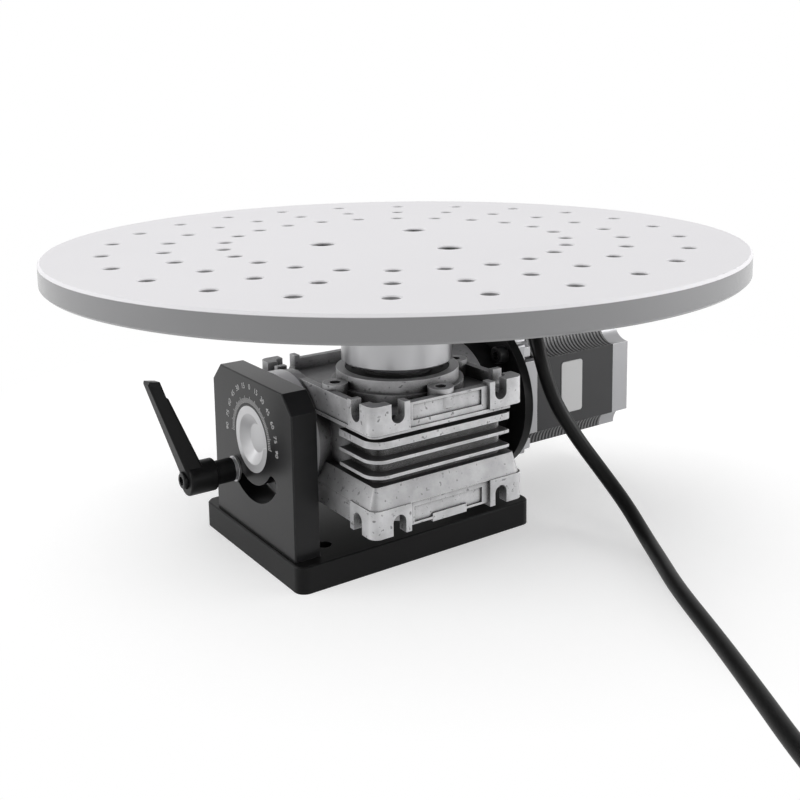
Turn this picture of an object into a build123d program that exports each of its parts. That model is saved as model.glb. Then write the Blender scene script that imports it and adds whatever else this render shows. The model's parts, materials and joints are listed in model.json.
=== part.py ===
from build123d import *
from math import acos, atan, cos, degrees, pi, radians, sin, sqrt, tan
import os

# Motorized rotary table on a one-sided tilting bracket, in millimetres.
# Origin: on the bench, straight under the table's rotary axis. +Z is up, +X points to the motor.

# Driving sizes of the table top and its hub
TABLE_D = 300.0
TABLE_T = 10.0
TABLE_EDGE = 1.0
HOLE_RINGS = (75.0, 100.0, 125.0)
HOLES_PER_RING = 24
HOLE_R = 3.3
HOLE_PHASE = 10.13
TABLE_SCREW_PCD = 65.0
TABLE_SCREW_COUNT = 3
TABLE_SCREW_SUNK = 0.8
HUB_R = 25.0
HUB_LENGTH = 46.0
HUB_FLANGE_R = 40.0
HUB_FLANGE_T = 8.0
HUB_EDGE = 0.8
HUB_SHOULDER_R = 11.0
HUB_SHOULDER_H = 2.8
HUB_STUB_LENGTH = 58.0
HUB_THREAD_DEPTH = 7.0
RETAIN_WASHER_R = 11.0
RETAIN_WASHER_T = 3.0
RETAIN_THREAD_DEPTH = 16.0

# Driving sizes of the worm gearbox
AXIS_Z = 56.0
CENTRE_DISTANCE = 30.0
HOUSING_X = 80.0
HOUSING_FRONT = 40.0
HOUSING_REAR = 57.0
HOUSING_H = 56.0
HOUSING_CORNER_R = 4.0
HOUSING_WALL = 5.0
RIM_H = 12.0
RIM_SET_IN = 1.6
RIM_SET_DOWN = 1.6
LUG_W = 19.0
LUG_SIDE_W = 18.0
LUG_SLOT_W = 6.5
LUG_SLOT_DEPTH = 8.5
LUG_SLOT_REACH = 6.5
LUG_SLOT_INSET = 13.0
LUG_SLOT_SIDE_INSET = 12.0
PANEL_DEPTH = 0.9
PANEL_LEFT = 2.5
PANEL_RIGHT = 3.5
PANEL_MARGIN = 2.6
LEDGE_SET_IN = 1.0
LEDGE_T = 1.6
WAIST_SET_IN = 6.5
WAIST_CORNER_R = 5.0
FIN_SET_IN = 1.4
FIN_CORNER_R = 8.0
FIN_T = 1.4
FIN_HEIGHTS = (31.7, 25.1)
BROAD_FIN_T = 3.0
BROAD_FIN_HEIGHT = 38.8
FIN_END_X = 33.0
FIN_END_Y = -12.5
REAR_FIN_REACH = 20.0
SKIRT_H = 9.0
SKIRT_ANGLE = 16.0
SKIRT_SET_IN = 0.6
POCKET_DEPTH = 7.0
POCKET_CORNER_R = 2.5
TAB_W = 18.0
TAB_H = 3.6
TAB_UP = 0.4
SPIGOT_R = 27.5
SPIGOT_PROUD = 3.0
SPIGOT_STEP_W = 2.2
SPIGOT_STEP_DOWN = 2.5
EAR_R = 5.6
EAR_PCD = 65.0
EAR_PROUD = 0.6
EAR_HOLE_R = 2.5
EAR_HOLE_DEPTH = 10.0
BOSS_R = 28.5
BOSS_X = 55.0
COVER_FLANGE_T = 4.0
COVER_FLANGE_R = 34.6
COVER_SPIGOT_R = 27.0
COVER_SCREW_DEPTH = 9.0

# Driving sizes of the output shaft and its bearings
SHAFT_R = 12.5
SHAFT_LENGTH = 63.0
SHAFT_BORE_R = 7.0
OUT_BEARING_R = 23.5
OUT_BEARING_T = 8.0
OUT_BEARING_FROM_MID = 14.0
SEAL_T = 6.5
SEAL_FROM_MID = 24.0
SEAL_GROOVE = 3.0
SHAFT_ROOM = 4.0
KEY_W = 5.0
KEY_IN_SHAFT = 1.8
KEY_IN_STUB = 3.0
KEY_LENGTH = 40.0
KEY_FROM_END = 11.5

# Driving sizes of the worm and wheel
GEAR_MODULE = 1.44
WHEEL_TEETH = 30
WHEEL_W = 16.0
WHEEL_RIM_R = 17.0
WHEEL_ROOM = 10.0
WHEEL_CLEAR = 1.6
PRESSURE_ANGLE = 20.0
BACKLASH = 0.22
WORM_TURNS = 5.5
WORM_CLEAR = 2.0
WORM_SHAFT_R = 6.0
WORM_SLEEVE_R = 10.0
WORM_END_X = 70.0
WORM_BEARING_X = 43.0
WORM_BEARING_T = 12.0
WORM_BEARING_R = 21.0
END_BEARING_X = -36.5
END_BEARING_T = 8.0
END_BEARING_R = 14.0
MOTOR_SHAFT_R = 4.0
MOTOR_SHAFT_REACH = 20.6

# Driving sizes of the bearings' rings: the inner ring's share of the width between bore and rim
RING_SHARE = 0.3
SHIELD_T = 1.0

# Driving sizes of the tilting bracket
BASE_X0 = -60.5
BASE_LENGTH = 127.5
BASE_Y0 = -14.5
BASE_W = 94.5
BASE_T = 12.0
BASE_CORNER_R = 5.0
BASE_EDGE = 0.6
BASE_HOLE_X = 86.0
BASE_HOLE_Y = 64.0
BASE_HOLE_R = 3.3
BASE_SCREW_SUNK = 0.5
UPRIGHT_T = 12.0
UPRIGHT_W = 76.0
UPRIGHT_CHAMFER = 8.0
UPRIGHT_ABOVE_AXIS = 28.0
UPRIGHT_EDGE = 0.5
UPRIGHT_SCREW_DEPTH = 14.0
DOWEL_R = 2.5
DOWEL_LENGTH = 18.0
FLANGE_R = 28.3
FLANGE_T = 6.6
JOURNAL_R = 15.0
DISH_R = 11.5
DISH_DEPTH = 3.0
DISH_FLAT_R = 6.5
NOTCH_DEPTH = 1.2
NOTCH_H = 8.4
NOTCH_FROM_RIM = 0.6
NOTCH_TO_AXIS = 4.0
PIVOT_SCREW_R = 21.0
PIVOT_SCREW_DEPTH = 9.0
TILT_RANGE = 90.0

# Driving sizes of the clamp
STUD_R = 3.0
STUD_RADIUS = 24.6
STUD_ANGLE = 228.0
SLOT_W = 8.0
SLOT_SPARE_ANGLE = 3.0
WASHER_R = 5.9
WASHER_T = 1.2
CLAMP_PLAY = 0.15
INSERT_LENGTH = 7.5
INSERT_BASE = 1.0
SHOULDER_T = 2.0
SHOULDER_ROOM = 1.0
CLAMP_SCREW_R = 2.0
CLAMP_SCREW_DEPTH = 5.5
CLAMP_HEAD_R = 3.7
CLAMP_HEAD_H = 4.2
CLAMP_HEAD_PROUD = 2.0
CLAMP_KEY_W = 4.0
SPRING_WIRE_R = 0.4
SPRING_COIL_COUNT = 4
LEVER_HUB_R = 7.4
LEVER_NECK_R = 5.5
LEVER_HUB_LENGTH = 23.5
LEVER_NECK_LENGTH = 10.0
LEVER_ARM = 47.0
LEVER_LEAN_ANGLE = 6.8
LEVER_RAKE_ANGLE = 17.0
LEVER_ARM_W = 10.5
LEVER_TIP_W = 7.0
LEVER_ROOT_T = 9.0
LEVER_TIP_T = 5.0
LEVER_BEAK_H = 8.0
SPLINE_SIDES = 12
SPLINE_R = 4.1
SPLINE_FIT = 0.12

# Driving sizes of the motor and its flange
MOTOR_BOLT_SPACING = 47.14
MOTOR_BOLT_EDGE = 4.63
MOTOR_CORNER_R = 1.5
IN_FLANGE_EDGE = 6.67
IN_FLANGE_T = 4.9
IN_FLANGE_X = 67.4
INPUT_SCREW_R = 24.4
INPUT_SCREW_DEPTH = 10.0
INPUT_SEAT_X = 61.0
SCOOP_R = 9.7
MOTOR_FLANGE_T = 4.8
FRONT_BELL_T = 8.3
STACK_T = 52.9
REAR_BELL_T = 10.8
REAR_WALL_T = 2.5
PILOT_R = 19.05
PILOT_T = 1.6
ROTOR_R = 17.0
AIR_GAP = 0.3
THROUGH_SET_IN = 5.07
THROUGH_HEAD_SUNK = 0.5
NUT_T = 4.0
NUT_FLATS = 8.0
MOTOR_BEARING_R = 11.0
MOTOR_BEARING_T = 7.0
FRONT_BEARING_SET_IN = 1.7
WINDING_T = 3.0
WINDING_W = 4.5
WINDING_CLEAR = 0.4
WINDING_FROM_SCREWS = 3.66
LABEL_X = 101.6
LABEL_W = 14.3
LABEL_H = 26.8
LABEL_T = 0.3
LABEL_ABOVE_AXIS = 1.1

# Driving sizes of the cord, its entry, its coil and its connector
CORD_D = 7.0
ENTRY_W = 16.0
ENTRY_T = 10.0
ENTRY_CORNER_R = 3.0
RELIEF_R = 6.2
RELIEF_TIP_WALL = 0.9
COIL_X = 50.0
COIL_Y = -249.5
COIL_MID_R = 38.5
COIL_TURNS_WIDE = 3
FLOOR_LIFT = 0.1
PLUG_R = 8.0
PLUG_LENGTH = 38.0
PLUG_NOSE_R = 7.0
PLUG_NOSE_LENGTH = 8.0
PLUG_SOCKET_R = 5.8
PLUG_TAIL_R = 4.6
PLUG_BACK = 28.0
PIN_R = 0.6
PIN_RING_R = 3.3
PIN_COUNT = 5

# Clearances
RUN_FIT = 0.05
FACE_GAP = 0.3
SCREW_FIT = 0.1
HEAD_FIT = 0.4

# Metric screws: shank radius, head radius, head height, hexagon key across flats
M3 = (1.5, 2.75, 3.0, 2.5)
M4 = (2.0, 3.5, 4.0, 3.0)
M5 = (2.5, 4.25, 5.0, 4.0)
M6 = (3.0, 5.0, 6.0, 5.0)

# Levels of the gearbox, its shaft and the table
AXIS_Y = CENTRE_DISTANCE
HOUSING_Z0 = AXIS_Z - HOUSING_H / 2
HOUSING_Z1 = AXIS_Z + HOUSING_H / 2
HOUSING_X0 = -HOUSING_X / 2
HOUSING_X1 = HOUSING_X / 2
POCKET_Z0 = HOUSING_Z0 + POCKET_DEPTH
POCKET_Z1 = HOUSING_Z1 - POCKET_DEPTH
SPIGOT_Z1 = HOUSING_Z1 + SPIGOT_PROUD
SHAFT_Z0 = AXIS_Z - SHAFT_LENGTH / 2
SHAFT_Z1 = AXIS_Z + SHAFT_LENGTH / 2
KEY_Z0 = SHAFT_Z0 + KEY_FROM_END
TABLE_Z0 = SHAFT_Z1 + HUB_LENGTH
TABLE_Z1 = TABLE_Z0 + TABLE_T
TABLE_SCREW_SEAT = TABLE_Z1 - M6[2] - TABLE_SCREW_SUNK
TABLE_SCREW_PHASE = HOLE_PHASE + 2 * 360.0 / HOLES_PER_RING

# Circles of the worm and wheel
WHEEL_PITCH_R = GEAR_MODULE * WHEEL_TEETH / 2
WHEEL_TIP_R = WHEEL_PITCH_R + GEAR_MODULE
WHEEL_ROOT_R = WHEEL_PITCH_R - 1.25 * GEAR_MODULE
WORM_PITCH_R = CENTRE_DISTANCE - WHEEL_PITCH_R
WORM_TIP_R = WORM_PITCH_R + GEAR_MODULE
WORM_ROOT_R = WORM_PITCH_R - 1.25 * GEAR_MODULE
LEAD = pi * GEAR_MODULE
LEAD_ANGLE = atan(GEAR_MODULE / (2 * WORM_PITCH_R))

# Places of the bracket and the clamp
JOURNAL_X0 = HOUSING_X0 - FLANGE_T
UPRIGHT_X1 = JOURNAL_X0 - FACE_GAP
UPRIGHT_X0 = UPRIGHT_X1 - UPRIGHT_T
UPRIGHT_MID_X = (UPRIGHT_X0 + UPRIGHT_X1) / 2
UPRIGHT_TOP = AXIS_Z + UPRIGHT_ABOVE_AXIS
BASE_MID_X = BASE_X0 + BASE_LENGTH / 2
BASE_MID_Y = BASE_Y0 + BASE_W / 2
STUD_Y = AXIS_Y - STUD_RADIUS * cos(radians(STUD_ANGLE))
STUD_Z = AXIS_Z + STUD_RADIUS * sin(radians(STUD_ANGLE))
WASHER_X1 = UPRIGHT_X0 - CLAMP_PLAY
LEVER_X1 = WASHER_X1 - WASHER_T - CLAMP_PLAY
INSERT_X0 = LEVER_X1 - INSERT_LENGTH
SHOULDER_X0 = INSERT_X0 - SHOULDER_ROOM - SHOULDER_T
CLAMP_HEAD_X0 = LEVER_X1 - LEVER_HUB_LENGTH - CLAMP_HEAD_PROUD

# Places of the motor
MOTOR_W = MOTOR_BOLT_SPACING + 2 * MOTOR_BOLT_EDGE
IN_FLANGE_R = MOTOR_BOLT_SPACING / sqrt(2) + IN_FLANGE_EDGE
THROUGH_SPACING = MOTOR_BOLT_SPACING - 2 * THROUGH_SET_IN
WINDING_R = THROUGH_SPACING / sqrt(2) - WINDING_FROM_SCREWS
MOTOR_X0 = IN_FLANGE_X + IN_FLANGE_T
BELL_X0 = MOTOR_X0 + MOTOR_FLANGE_T
STACK_X0 = BELL_X0 + FRONT_BELL_T
REAR_X0 = STACK_X0 + STACK_T
MOTOR_X1 = REAR_X0 + REAR_BELL_T
MOTOR_Y0 = AXIS_Y - MOTOR_W / 2
MOTOR_Z1 = AXIS_Z + MOTOR_W / 2
FRONT_BEARING_X = MOTOR_X0 + FRONT_BEARING_SET_IN
REAR_BEARING_X = MOTOR_X1 - REAR_WALL_T - MOTOR_BEARING_T
THROUGH_SEAT_X = MOTOR_X1 - M3[2] - THROUGH_HEAD_SUNK

# The cord leaves its entry on the motor and lies down on the bench. These are the corners of its
# route; the first corners tilt with the motor, and the others stay.
FLOOR_Z = CORD_D / 2 + FLOOR_LIFT
CORD_ROUTE = [
    (81.0, 26.5, 100.0),
    (81.0, 10.5, 100.0),
    (79.0, -3.3, 92.0),
    (76.0, -12.5, 76.0),
    (81.0, -15.5, 58.0),
    (89.8, -22.0, 40.0),
    (96.0, -33.0, 25.0),
    (96.8, -48.5, 13.0),
    (90.5, -66.5, 5.0),
    (80.5, -84.0, FLOOR_Z),
    (66.0, -106.5, FLOOR_Z),
    (47.5, -141.5, FLOOR_Z),
    (29.8, -173.0, FLOOR_Z),
    (15.0, -198.5, FLOOR_Z),
    (6.0, -216.5, FLOOR_Z),
    (3.4, -224.5, FLOOR_Z),
]
TILTING_CORNER_COUNT = 3


def rod_x(radius, x0, x1, y=AXIS_Y, z=AXIS_Z):
    return Pos((x0 + x1) / 2, y, z) * Rot(0, 90, 0) * Cylinder(radius, x1 - x0)


def rod_z(radius, z0, z1, x=0.0, y=0.0):
    return Pos(x, y, (z0 + z1) / 2) * Cylinder(radius, z1 - z0)


def block(x0, x1, y0, y1, z0, z1):
    return Pos((x0 + x1) / 2, (y0 + y1) / 2, (z0 + z1) / 2) * Box(x1 - x0, y1 - y0, z1 - z0)


def ring_places(radius, count, phase):
    step = 360.0 / count
    turns = [radians(phase + step * i) for i in range(count)]
    return [(radius * cos(t), radius * sin(t)) for t in turns]


def socket_screw(size, length):
    """A socket head screw along Z: its head stands on z 0 and its shank hangs below."""
    shank_r, head_r, head_h, key = size
    head = Pos(0, 0, head_h / 2) * Cylinder(head_r, head_h)
    shank = Pos(0, 0, -length / 2) * Cylinder(shank_r - RUN_FIT, length)
    socket = extrude(Pos(0, 0, head_h / 2) * RegularPolygon(key / sqrt(3), 6), head_h)
    return head + shank - socket


def save(part, name):
    part.label = name
    export_step(part, f"parts/{name}.step")


# The table top and the hub under it

def table_plate():
    plate = rod_z(TABLE_D / 2, TABLE_Z0, TABLE_Z1)
    plate = chamfer(plate.edges().filter_by(GeomType.CIRCLE), TABLE_EDGE)
    holes = Part()
    for ring_r in HOLE_RINGS:
        for x, y in ring_places(ring_r, HOLES_PER_RING, HOLE_PHASE):
            holes += rod_z(HOLE_R, TABLE_Z0 - 1, TABLE_Z1 + 1, x, y)
    for x, y in table_screw_places():
        holes += rod_z(M6[0] + SCREW_FIT, TABLE_Z0 - 1, TABLE_Z1 + 1, x, y)
        holes += rod_z(M6[1] + HEAD_FIT, TABLE_SCREW_SEAT, TABLE_Z1 + 1, x, y)
    return plate - holes


def table_screw_places():
    return ring_places(TABLE_SCREW_PCD / 2, TABLE_SCREW_COUNT, TABLE_SCREW_PHASE)


def hub():
    z_shoulder = SHAFT_Z1 + HUB_SHOULDER_H
    z_flange = TABLE_Z0 - HUB_FLANGE_T
    body = rod_z(HUB_R, z_shoulder, z_flange + 1) + rod_z(HUB_FLANGE_R, z_flange, TABLE_Z0)
    body = chamfer(body.edges().filter_by(GeomType.CIRCLE).group_by(Axis.Z)[0], HUB_EDGE)
    body += rod_z(HUB_SHOULDER_R, SHAFT_Z1, z_shoulder)
    stub_z0 = SHAFT_Z1 - HUB_STUB_LENGTH
    body += rod_z(SHAFT_BORE_R - RUN_FIT, stub_z0, SHAFT_Z1)
    body -= rod_z(M6[0], stub_z0 - 1, stub_z0 + RETAIN_THREAD_DEPTH)
    body -= keyway(SHAFT_BORE_R - KEY_IN_STUB, SHAFT_BORE_R + 1)
    for x, y in table_screw_places():
        body -= rod_z(M6[0], TABLE_Z0 - HUB_THREAD_DEPTH, TABLE_Z0 + 1, x, y)
    return body


def keyway(x_inner, x_outer, spare=0.0):
    half = KEY_W / 2 + spare
    return block(x_inner, x_outer, -half, half, KEY_Z0 - spare, KEY_Z0 + KEY_LENGTH + spare)


def shaft_key():
    return keyway(SHAFT_BORE_R - KEY_IN_STUB + RUN_FIT, SHAFT_BORE_R + KEY_IN_SHAFT, -RUN_FIT)


def retaining_washer():
    z1 = SHAFT_Z0
    return rod_z(RETAIN_WASHER_R, z1 - RETAIN_WASHER_T, z1) - rod_z(M6[0] + SCREW_FIT, 0, z1 + 1)


def retaining_screw():
    seat = SHAFT_Z0 - RETAIN_WASHER_T
    reach = SHAFT_Z1 - HUB_STUB_LENGTH + RETAIN_THREAD_DEPTH - 2 - seat
    return Pos(0, 0, seat) * Rot(180, 0, 0) * socket_screw(low_head(M6), reach)


def low_head(size):
    return (size[0], size[1], size[2] * 0.65, size[3])


def table_screws():
    screw = socket_screw(M6, TABLE_SCREW_SEAT - TABLE_Z0 + HUB_THREAD_DEPTH - 1)
    return group([Pos(x, y, TABLE_SCREW_SEAT) * screw for x, y in table_screw_places()])


def group(solids):
    return Compound(children=[s for s in solids])


# The worm wheel on its hollow output shaft

def output_shaft():
    shaft = rod_z(SHAFT_R, SHAFT_Z0, SHAFT_Z1)
    shaft += rod_z(WHEEL_RIM_R, AXIS_Z - WHEEL_W / 2, AXIS_Z + WHEEL_W / 2)
    shaft -= rod_z(SHAFT_BORE_R, SHAFT_Z0 - 1, SHAFT_Z1 + 1)
    key_room = SHAFT_BORE_R + KEY_IN_SHAFT + RUN_FIT
    return shaft - block(0, key_room, -KEY_W / 2, KEY_W / 2, SHAFT_Z0 - 1, SHAFT_Z1 + 1)


def tooth_half_angle(radius):
    """Half the angle that an involute tooth takes up at a radius."""
    base_r = WHEEL_PITCH_R * cos(radians(PRESSURE_ANGLE))

    def involute(r):
        a = acos(min(1.0, base_r / r))
        return tan(a) - a

    half = (pi * GEAR_MODULE / 4 - BACKLASH / 2) / WHEEL_PITCH_R
    return half + involute(WHEEL_PITCH_R) - involute(max(radius, base_r))


def wheel_outline():
    """Thirty teeth that start with a gap on the line to the worm."""
    levels = (WHEEL_ROOT_R, WHEEL_PITCH_R - 0.4, WHEEL_PITCH_R + 0.5, WHEEL_TIP_R)
    step = 2 * pi / WHEEL_TEETH
    points = []
    for i in range(WHEEL_TEETH):
        middle = pi / 2 + (i + 0.5) * step
        for r in levels:
            t = middle - tooth_half_angle(r)
            points.append((r * cos(t), r * sin(t)))
        for r in reversed(levels):
            t = middle + tooth_half_angle(r)
            points.append((r * cos(t), r * sin(t)))
    return make_face(Polyline(*points, close=True))


def worm_wheel():
    twist = degrees(WHEEL_W * tan(LEAD_ANGLE) / WHEEL_PITCH_R)
    start = Pos(0, 0, AXIS_Z - WHEEL_W / 2) * Rot(0, 0, -twist / 2)
    face = (start * wheel_outline()).faces()[0]
    centre = (0, 0, AXIS_Z - WHEEL_W / 2)
    rim = Part() + Solid.extrude_linear_with_rotation(face, centre, (0, 0, WHEEL_W), twist)
    return rim - rod_z(WHEEL_RIM_R, 0, AXIS_Z * 2)


def worm_thread():
    """One right-hand thread of rack shape along X, centred so that it fills the wheel's gap."""
    slope = tan(radians(PRESSURE_ANGLE))
    half_pitch = pi * GEAR_MODULE / 4 - BACKLASH / 2
    root = half_pitch + (WORM_PITCH_R - WORM_ROOT_R) * slope
    tip = half_pitch - GEAR_MODULE * slope
    sunk = 0.3
    path = Helix(pitch=LEAD, height=WORM_TURNS * LEAD, radius=WORM_ROOT_R)
    height = WORM_TIP_R - WORM_ROOT_R
    corners = [(-sunk, -root), (height, -tip), (height, tip), (-sunk, root)]
    start = Plane(origin=path @ 0, x_dir=(1, 0, 0), z_dir=path % 0)
    thread = sweep(start * make_face(Polyline(*corners, close=True)), path=path, is_frenet=True)
    return Pos(-WORM_TURNS * LEAD / 2, AXIS_Y, AXIS_Z) * Rot(0, 90, 0) * thread


def worm_shaft():
    half = (WORM_TURNS * LEAD + LEAD) / 2
    shaft = rod_x(WORM_SHAFT_R, END_BEARING_X, WORM_END_X)
    shaft += rod_x(WORM_ROOT_R, -half, half)
    shaft += rod_x(WORM_SLEEVE_R, half + 4, WORM_END_X)
    shaft -= rod_x(MOTOR_SHAFT_R + RUN_FIT, MOTOR_X0 - MOTOR_SHAFT_REACH - 1, WORM_END_X + 1)
    return shaft + worm_thread()


# Bearings: each is an outer ring with shields and an inner ring

def bearing_outer(outer_r, inner_r, width):
    ring_t = (outer_r - inner_r) * RING_SHARE
    race = Cylinder(outer_r - RUN_FIT / 2, width) - Cylinder(outer_r - ring_t, width + 1)
    shield = Cylinder(outer_r - ring_t / 2, SHIELD_T) - Cylinder(inner_r + ring_t + FACE_GAP, 2 * SHIELD_T)
    lift = width / 2 - SHIELD_T
    return race + Pos(0, 0, lift) * shield + Pos(0, 0, -lift) * shield


def bearing_inner(outer_r, inner_r, width):
    ring_r = inner_r + (outer_r - inner_r) * RING_SHARE
    return Cylinder(ring_r, width) - Cylinder(inner_r + RUN_FIT / 2, width + 1)


def out_bearing_places():
    middle = OUT_BEARING_FROM_MID + OUT_BEARING_T / 2
    return [Pos(0, 0, AXIS_Z + middle), Pos(0, 0, AXIS_Z - middle)]


def output_bearing_outers():
    ring = bearing_outer(OUT_BEARING_R, SHAFT_R, OUT_BEARING_T)
    return group([place * ring for place in out_bearing_places()])


def output_bearing_inners():
    ring = bearing_inner(OUT_BEARING_R, SHAFT_R, OUT_BEARING_T)
    return group([place * ring for place in out_bearing_places()])


def worm_bearing_places():
    input_end = Pos(WORM_BEARING_X + WORM_BEARING_T / 2, AXIS_Y, AXIS_Z) * Rot(0, 90, 0)
    blind_end = Pos(END_BEARING_X + END_BEARING_T / 2, AXIS_Y, AXIS_Z) * Rot(0, 90, 0)
    return input_end, blind_end


def worm_bearing_outers():
    input_end, blind_end = worm_bearing_places()
    big = bearing_outer(WORM_BEARING_R, WORM_SLEEVE_R, WORM_BEARING_T)
    small = bearing_outer(END_BEARING_R, WORM_SHAFT_R, END_BEARING_T)
    return group([input_end * big, blind_end * small])


def worm_bearing_inners():
    input_end, blind_end = worm_bearing_places()
    big = bearing_inner(WORM_BEARING_R, WORM_SLEEVE_R, WORM_BEARING_T)
    small = bearing_inner(END_BEARING_R, WORM_SHAFT_R, END_BEARING_T)
    return group([input_end * big, blind_end * small])


def oil_seals():
    """Rubber rings that close the gearbox round the output shaft, above and below."""
    ring = Cylinder(OUT_BEARING_R - RUN_FIT, SEAL_T) - Cylinder(SHAFT_R + FACE_GAP, SEAL_T + 1)
    groove = Cylinder(OUT_BEARING_R - SEAL_GROOVE, 2) - Cylinder(SHAFT_R + SEAL_GROOVE, 3)
    upper = ring - Pos(0, 0, SEAL_T / 2) * groove
    middle = SEAL_FROM_MID + SEAL_T / 2
    return group([Pos(0, 0, AXIS_Z + middle) * upper, Pos(0, 0, AXIS_Z - middle) * Rot(180, 0, 0) * upper])


# The cast gearbox housing

def plan(set_in, corner_r=HOUSING_CORNER_R):
    depth = HOUSING_FRONT + HOUSING_REAR
    sheet = RectangleRounded(HOUSING_X - 2 * set_in, depth - 2 * set_in, corner_r)
    return Pos(0, (HOUSING_REAR - HOUSING_FRONT) / 2) * sheet


def slab(set_in, z0, z1, corner_r=HOUSING_CORNER_R):
    return extrude(Pos(0, 0, z0) * plan(set_in, corner_r), z1 - z0)


def fins():
    """Cooling fins that wrap the front left corner, and shorter ones on the back."""
    sheets = Part()
    for height, thick in [(BROAD_FIN_HEIGHT, BROAD_FIN_T)] + [(h, FIN_T) for h in FIN_HEIGHTS]:
        z = HOUSING_Z0 + height
        sheets += slab(FIN_SET_IN, z - thick / 2, z + thick / 2, FIN_CORNER_R)
    front = block(HOUSING_X0, FIN_END_X, -HOUSING_FRONT, FIN_END_Y, HOUSING_Z0, HOUSING_Z1)
    back = block(-FIN_END_X, FIN_END_X, HOUSING_REAR - REAR_FIN_REACH, HOUSING_REAR, HOUSING_Z0, HOUSING_Z1)
    return sheets & (front + back)


def rim(z0, z1, edge_z):
    """One band of the housing with its four corner lugs; edge_z is the band's outer edge."""
    band = slab(0, z0, z1)
    inner = HOUSING_X1 - LUG_W
    lug_front = -HOUSING_FRONT + LUG_SIDE_W
    lug_rear = HOUSING_REAR - LUG_SIDE_W
    down = RIM_SET_DOWN if edge_z == z1 else -RIM_SET_DOWN
    low, high = sorted((edge_z - down, edge_z + down))
    for y_face, inward in ((-HOUSING_FRONT, 1), (HOUSING_REAR, -1)):
        y_a, y_b = sorted((y_face - inward, y_face + inward * RIM_SET_IN))
        band -= block(-inner, inner, y_a, y_b, z0 - 1, z1 + 1)
        y_c, y_d = sorted((y_face, y_face + inward * (RIM_SET_IN + PANEL_DEPTH)))
        x_c, x_d = -inner + PANEL_LEFT, inner - PANEL_RIGHT
        band -= block(x_c, x_d, y_c, y_d, z0 + PANEL_MARGIN, z1 - PANEL_MARGIN)
    for x_face, inward in ((HOUSING_X0, 1), (HOUSING_X1, -1)):
        x_a, x_b = sorted((x_face - inward, x_face + inward * RIM_SET_IN))
        band -= block(x_a, x_b, lug_front, lug_rear, z0 - 1, z1 + 1)
    band -= block(-inner, inner, -HOUSING_FRONT - 1, HOUSING_REAR + 1, low, high)
    band -= block(HOUSING_X0 - 1, HOUSING_X1 + 1, lug_front, lug_rear, low, high)
    return band


def lug_slots(edge_z, inward_z):
    """Open U slots in the two outer faces of each corner lug."""
    cuts = Part()
    bottom = edge_z + inward_z * (LUG_SLOT_DEPTH - LUG_SLOT_W / 2)
    z0, z1 = sorted((bottom, edge_z - inward_z))
    half = LUG_SLOT_W / 2
    for side in (-1, 1):
        x = side * (HOUSING_X1 - LUG_SLOT_INSET)
        for y_face, inward in ((-HOUSING_FRONT, 1), (HOUSING_REAR, -1)):
            y_a, y_b = sorted((y_face - inward, y_face + inward * LUG_SLOT_REACH))
            cuts += block(x - half, x + half, y_a, y_b, z0, z1)
            cuts += Pos(x, (y_a + y_b) / 2, bottom) * Rot(90, 0, 0) * Cylinder(half, y_b - y_a)
        x_face = side * HOUSING_X1
        x_a, x_b = sorted((x_face + side, x_face - side * LUG_SLOT_REACH))
        for y in (-HOUSING_FRONT + LUG_SLOT_SIDE_INSET, HOUSING_REAR - LUG_SLOT_SIDE_INSET):
            cuts += block(x_a, x_b, y - half, y + half, z0, z1)
            cuts += Pos((x_a + x_b) / 2, y, bottom) * Rot(0, 90, 0) * Cylinder(half, x_b - x_a)
    return cuts


def ear_places():
    return ring_places(EAR_PCD / 2, 4, 0.0)


def output_side():
    """Spigot ring and four tapped ears in the upper pocket."""
    floor = POCKET_Z1 - 0.5
    ear_z1 = HOUSING_Z1 + EAR_PROUD
    raised = rod_z(SPIGOT_R, floor, SPIGOT_Z1)
    raised += rod_z(SPIGOT_R + SPIGOT_STEP_W, floor, HOUSING_Z1 - SPIGOT_STEP_DOWN)
    for x, y in ear_places():
        raised += rod_z(EAR_R, floor, ear_z1, x, y)
    return raised


def gear_cavities():
    """Everything that is hollow inside the housing."""
    cuts = rod_z(OUT_BEARING_R, AXIS_Z + OUT_BEARING_FROM_MID, SPIGOT_Z1 + 1)
    cuts += rod_z(COVER_SPIGOT_R, HOUSING_Z0 - 1, AXIS_Z - WHEEL_ROOM)
    cuts += rod_z(WHEEL_TIP_R + WHEEL_CLEAR, AXIS_Z - WHEEL_ROOM - 1, AXIS_Z + WHEEL_ROOM)
    cuts += rod_z(SHAFT_R + SHAFT_ROOM, AXIS_Z, SPIGOT_Z1)
    cuts += rod_x(WORM_TIP_R + WORM_CLEAR, END_BEARING_X, WORM_BEARING_X + 1)
    cuts += rod_x(WORM_BEARING_R, WORM_BEARING_X, BOSS_X + 1)
    cuts += rod_x(END_BEARING_R, HOUSING_X0 - 1, END_BEARING_X + END_BEARING_T)
    for x, y in ear_places():
        cuts += rod_z(EAR_HOLE_R, HOUSING_Z1 + EAR_PROUD - EAR_HOLE_DEPTH, HOUSING_Z1 + 2, x, y)
    for x, y in cover_screw_places():
        cuts += rod_z(M5[0], POCKET_Z0 - 1, POCKET_Z0 + COVER_SCREW_DEPTH, x, y)
    for y, z in input_screw_places():
        cuts += rod_x(M4[0], BOSS_X - INPUT_SCREW_DEPTH, BOSS_X + 1, y, z)
    for y, z in pivot_screw_places():
        cuts += rod_x(M4[0], HOUSING_X0 - 1, HOUSING_X0 + PIVOT_SCREW_DEPTH, y, z)
    return cuts


def rim_tab():
    """Small flat tab in the middle of the lower band's front."""
    y0 = -HOUSING_FRONT + RIM_SET_IN
    z0 = HOUSING_Z0 + TAB_UP
    return block(-TAB_W / 2, TAB_W / 2, y0, -HOUSING_FRONT + HOUSING_WALL, z0, z0 + TAB_H)


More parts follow.
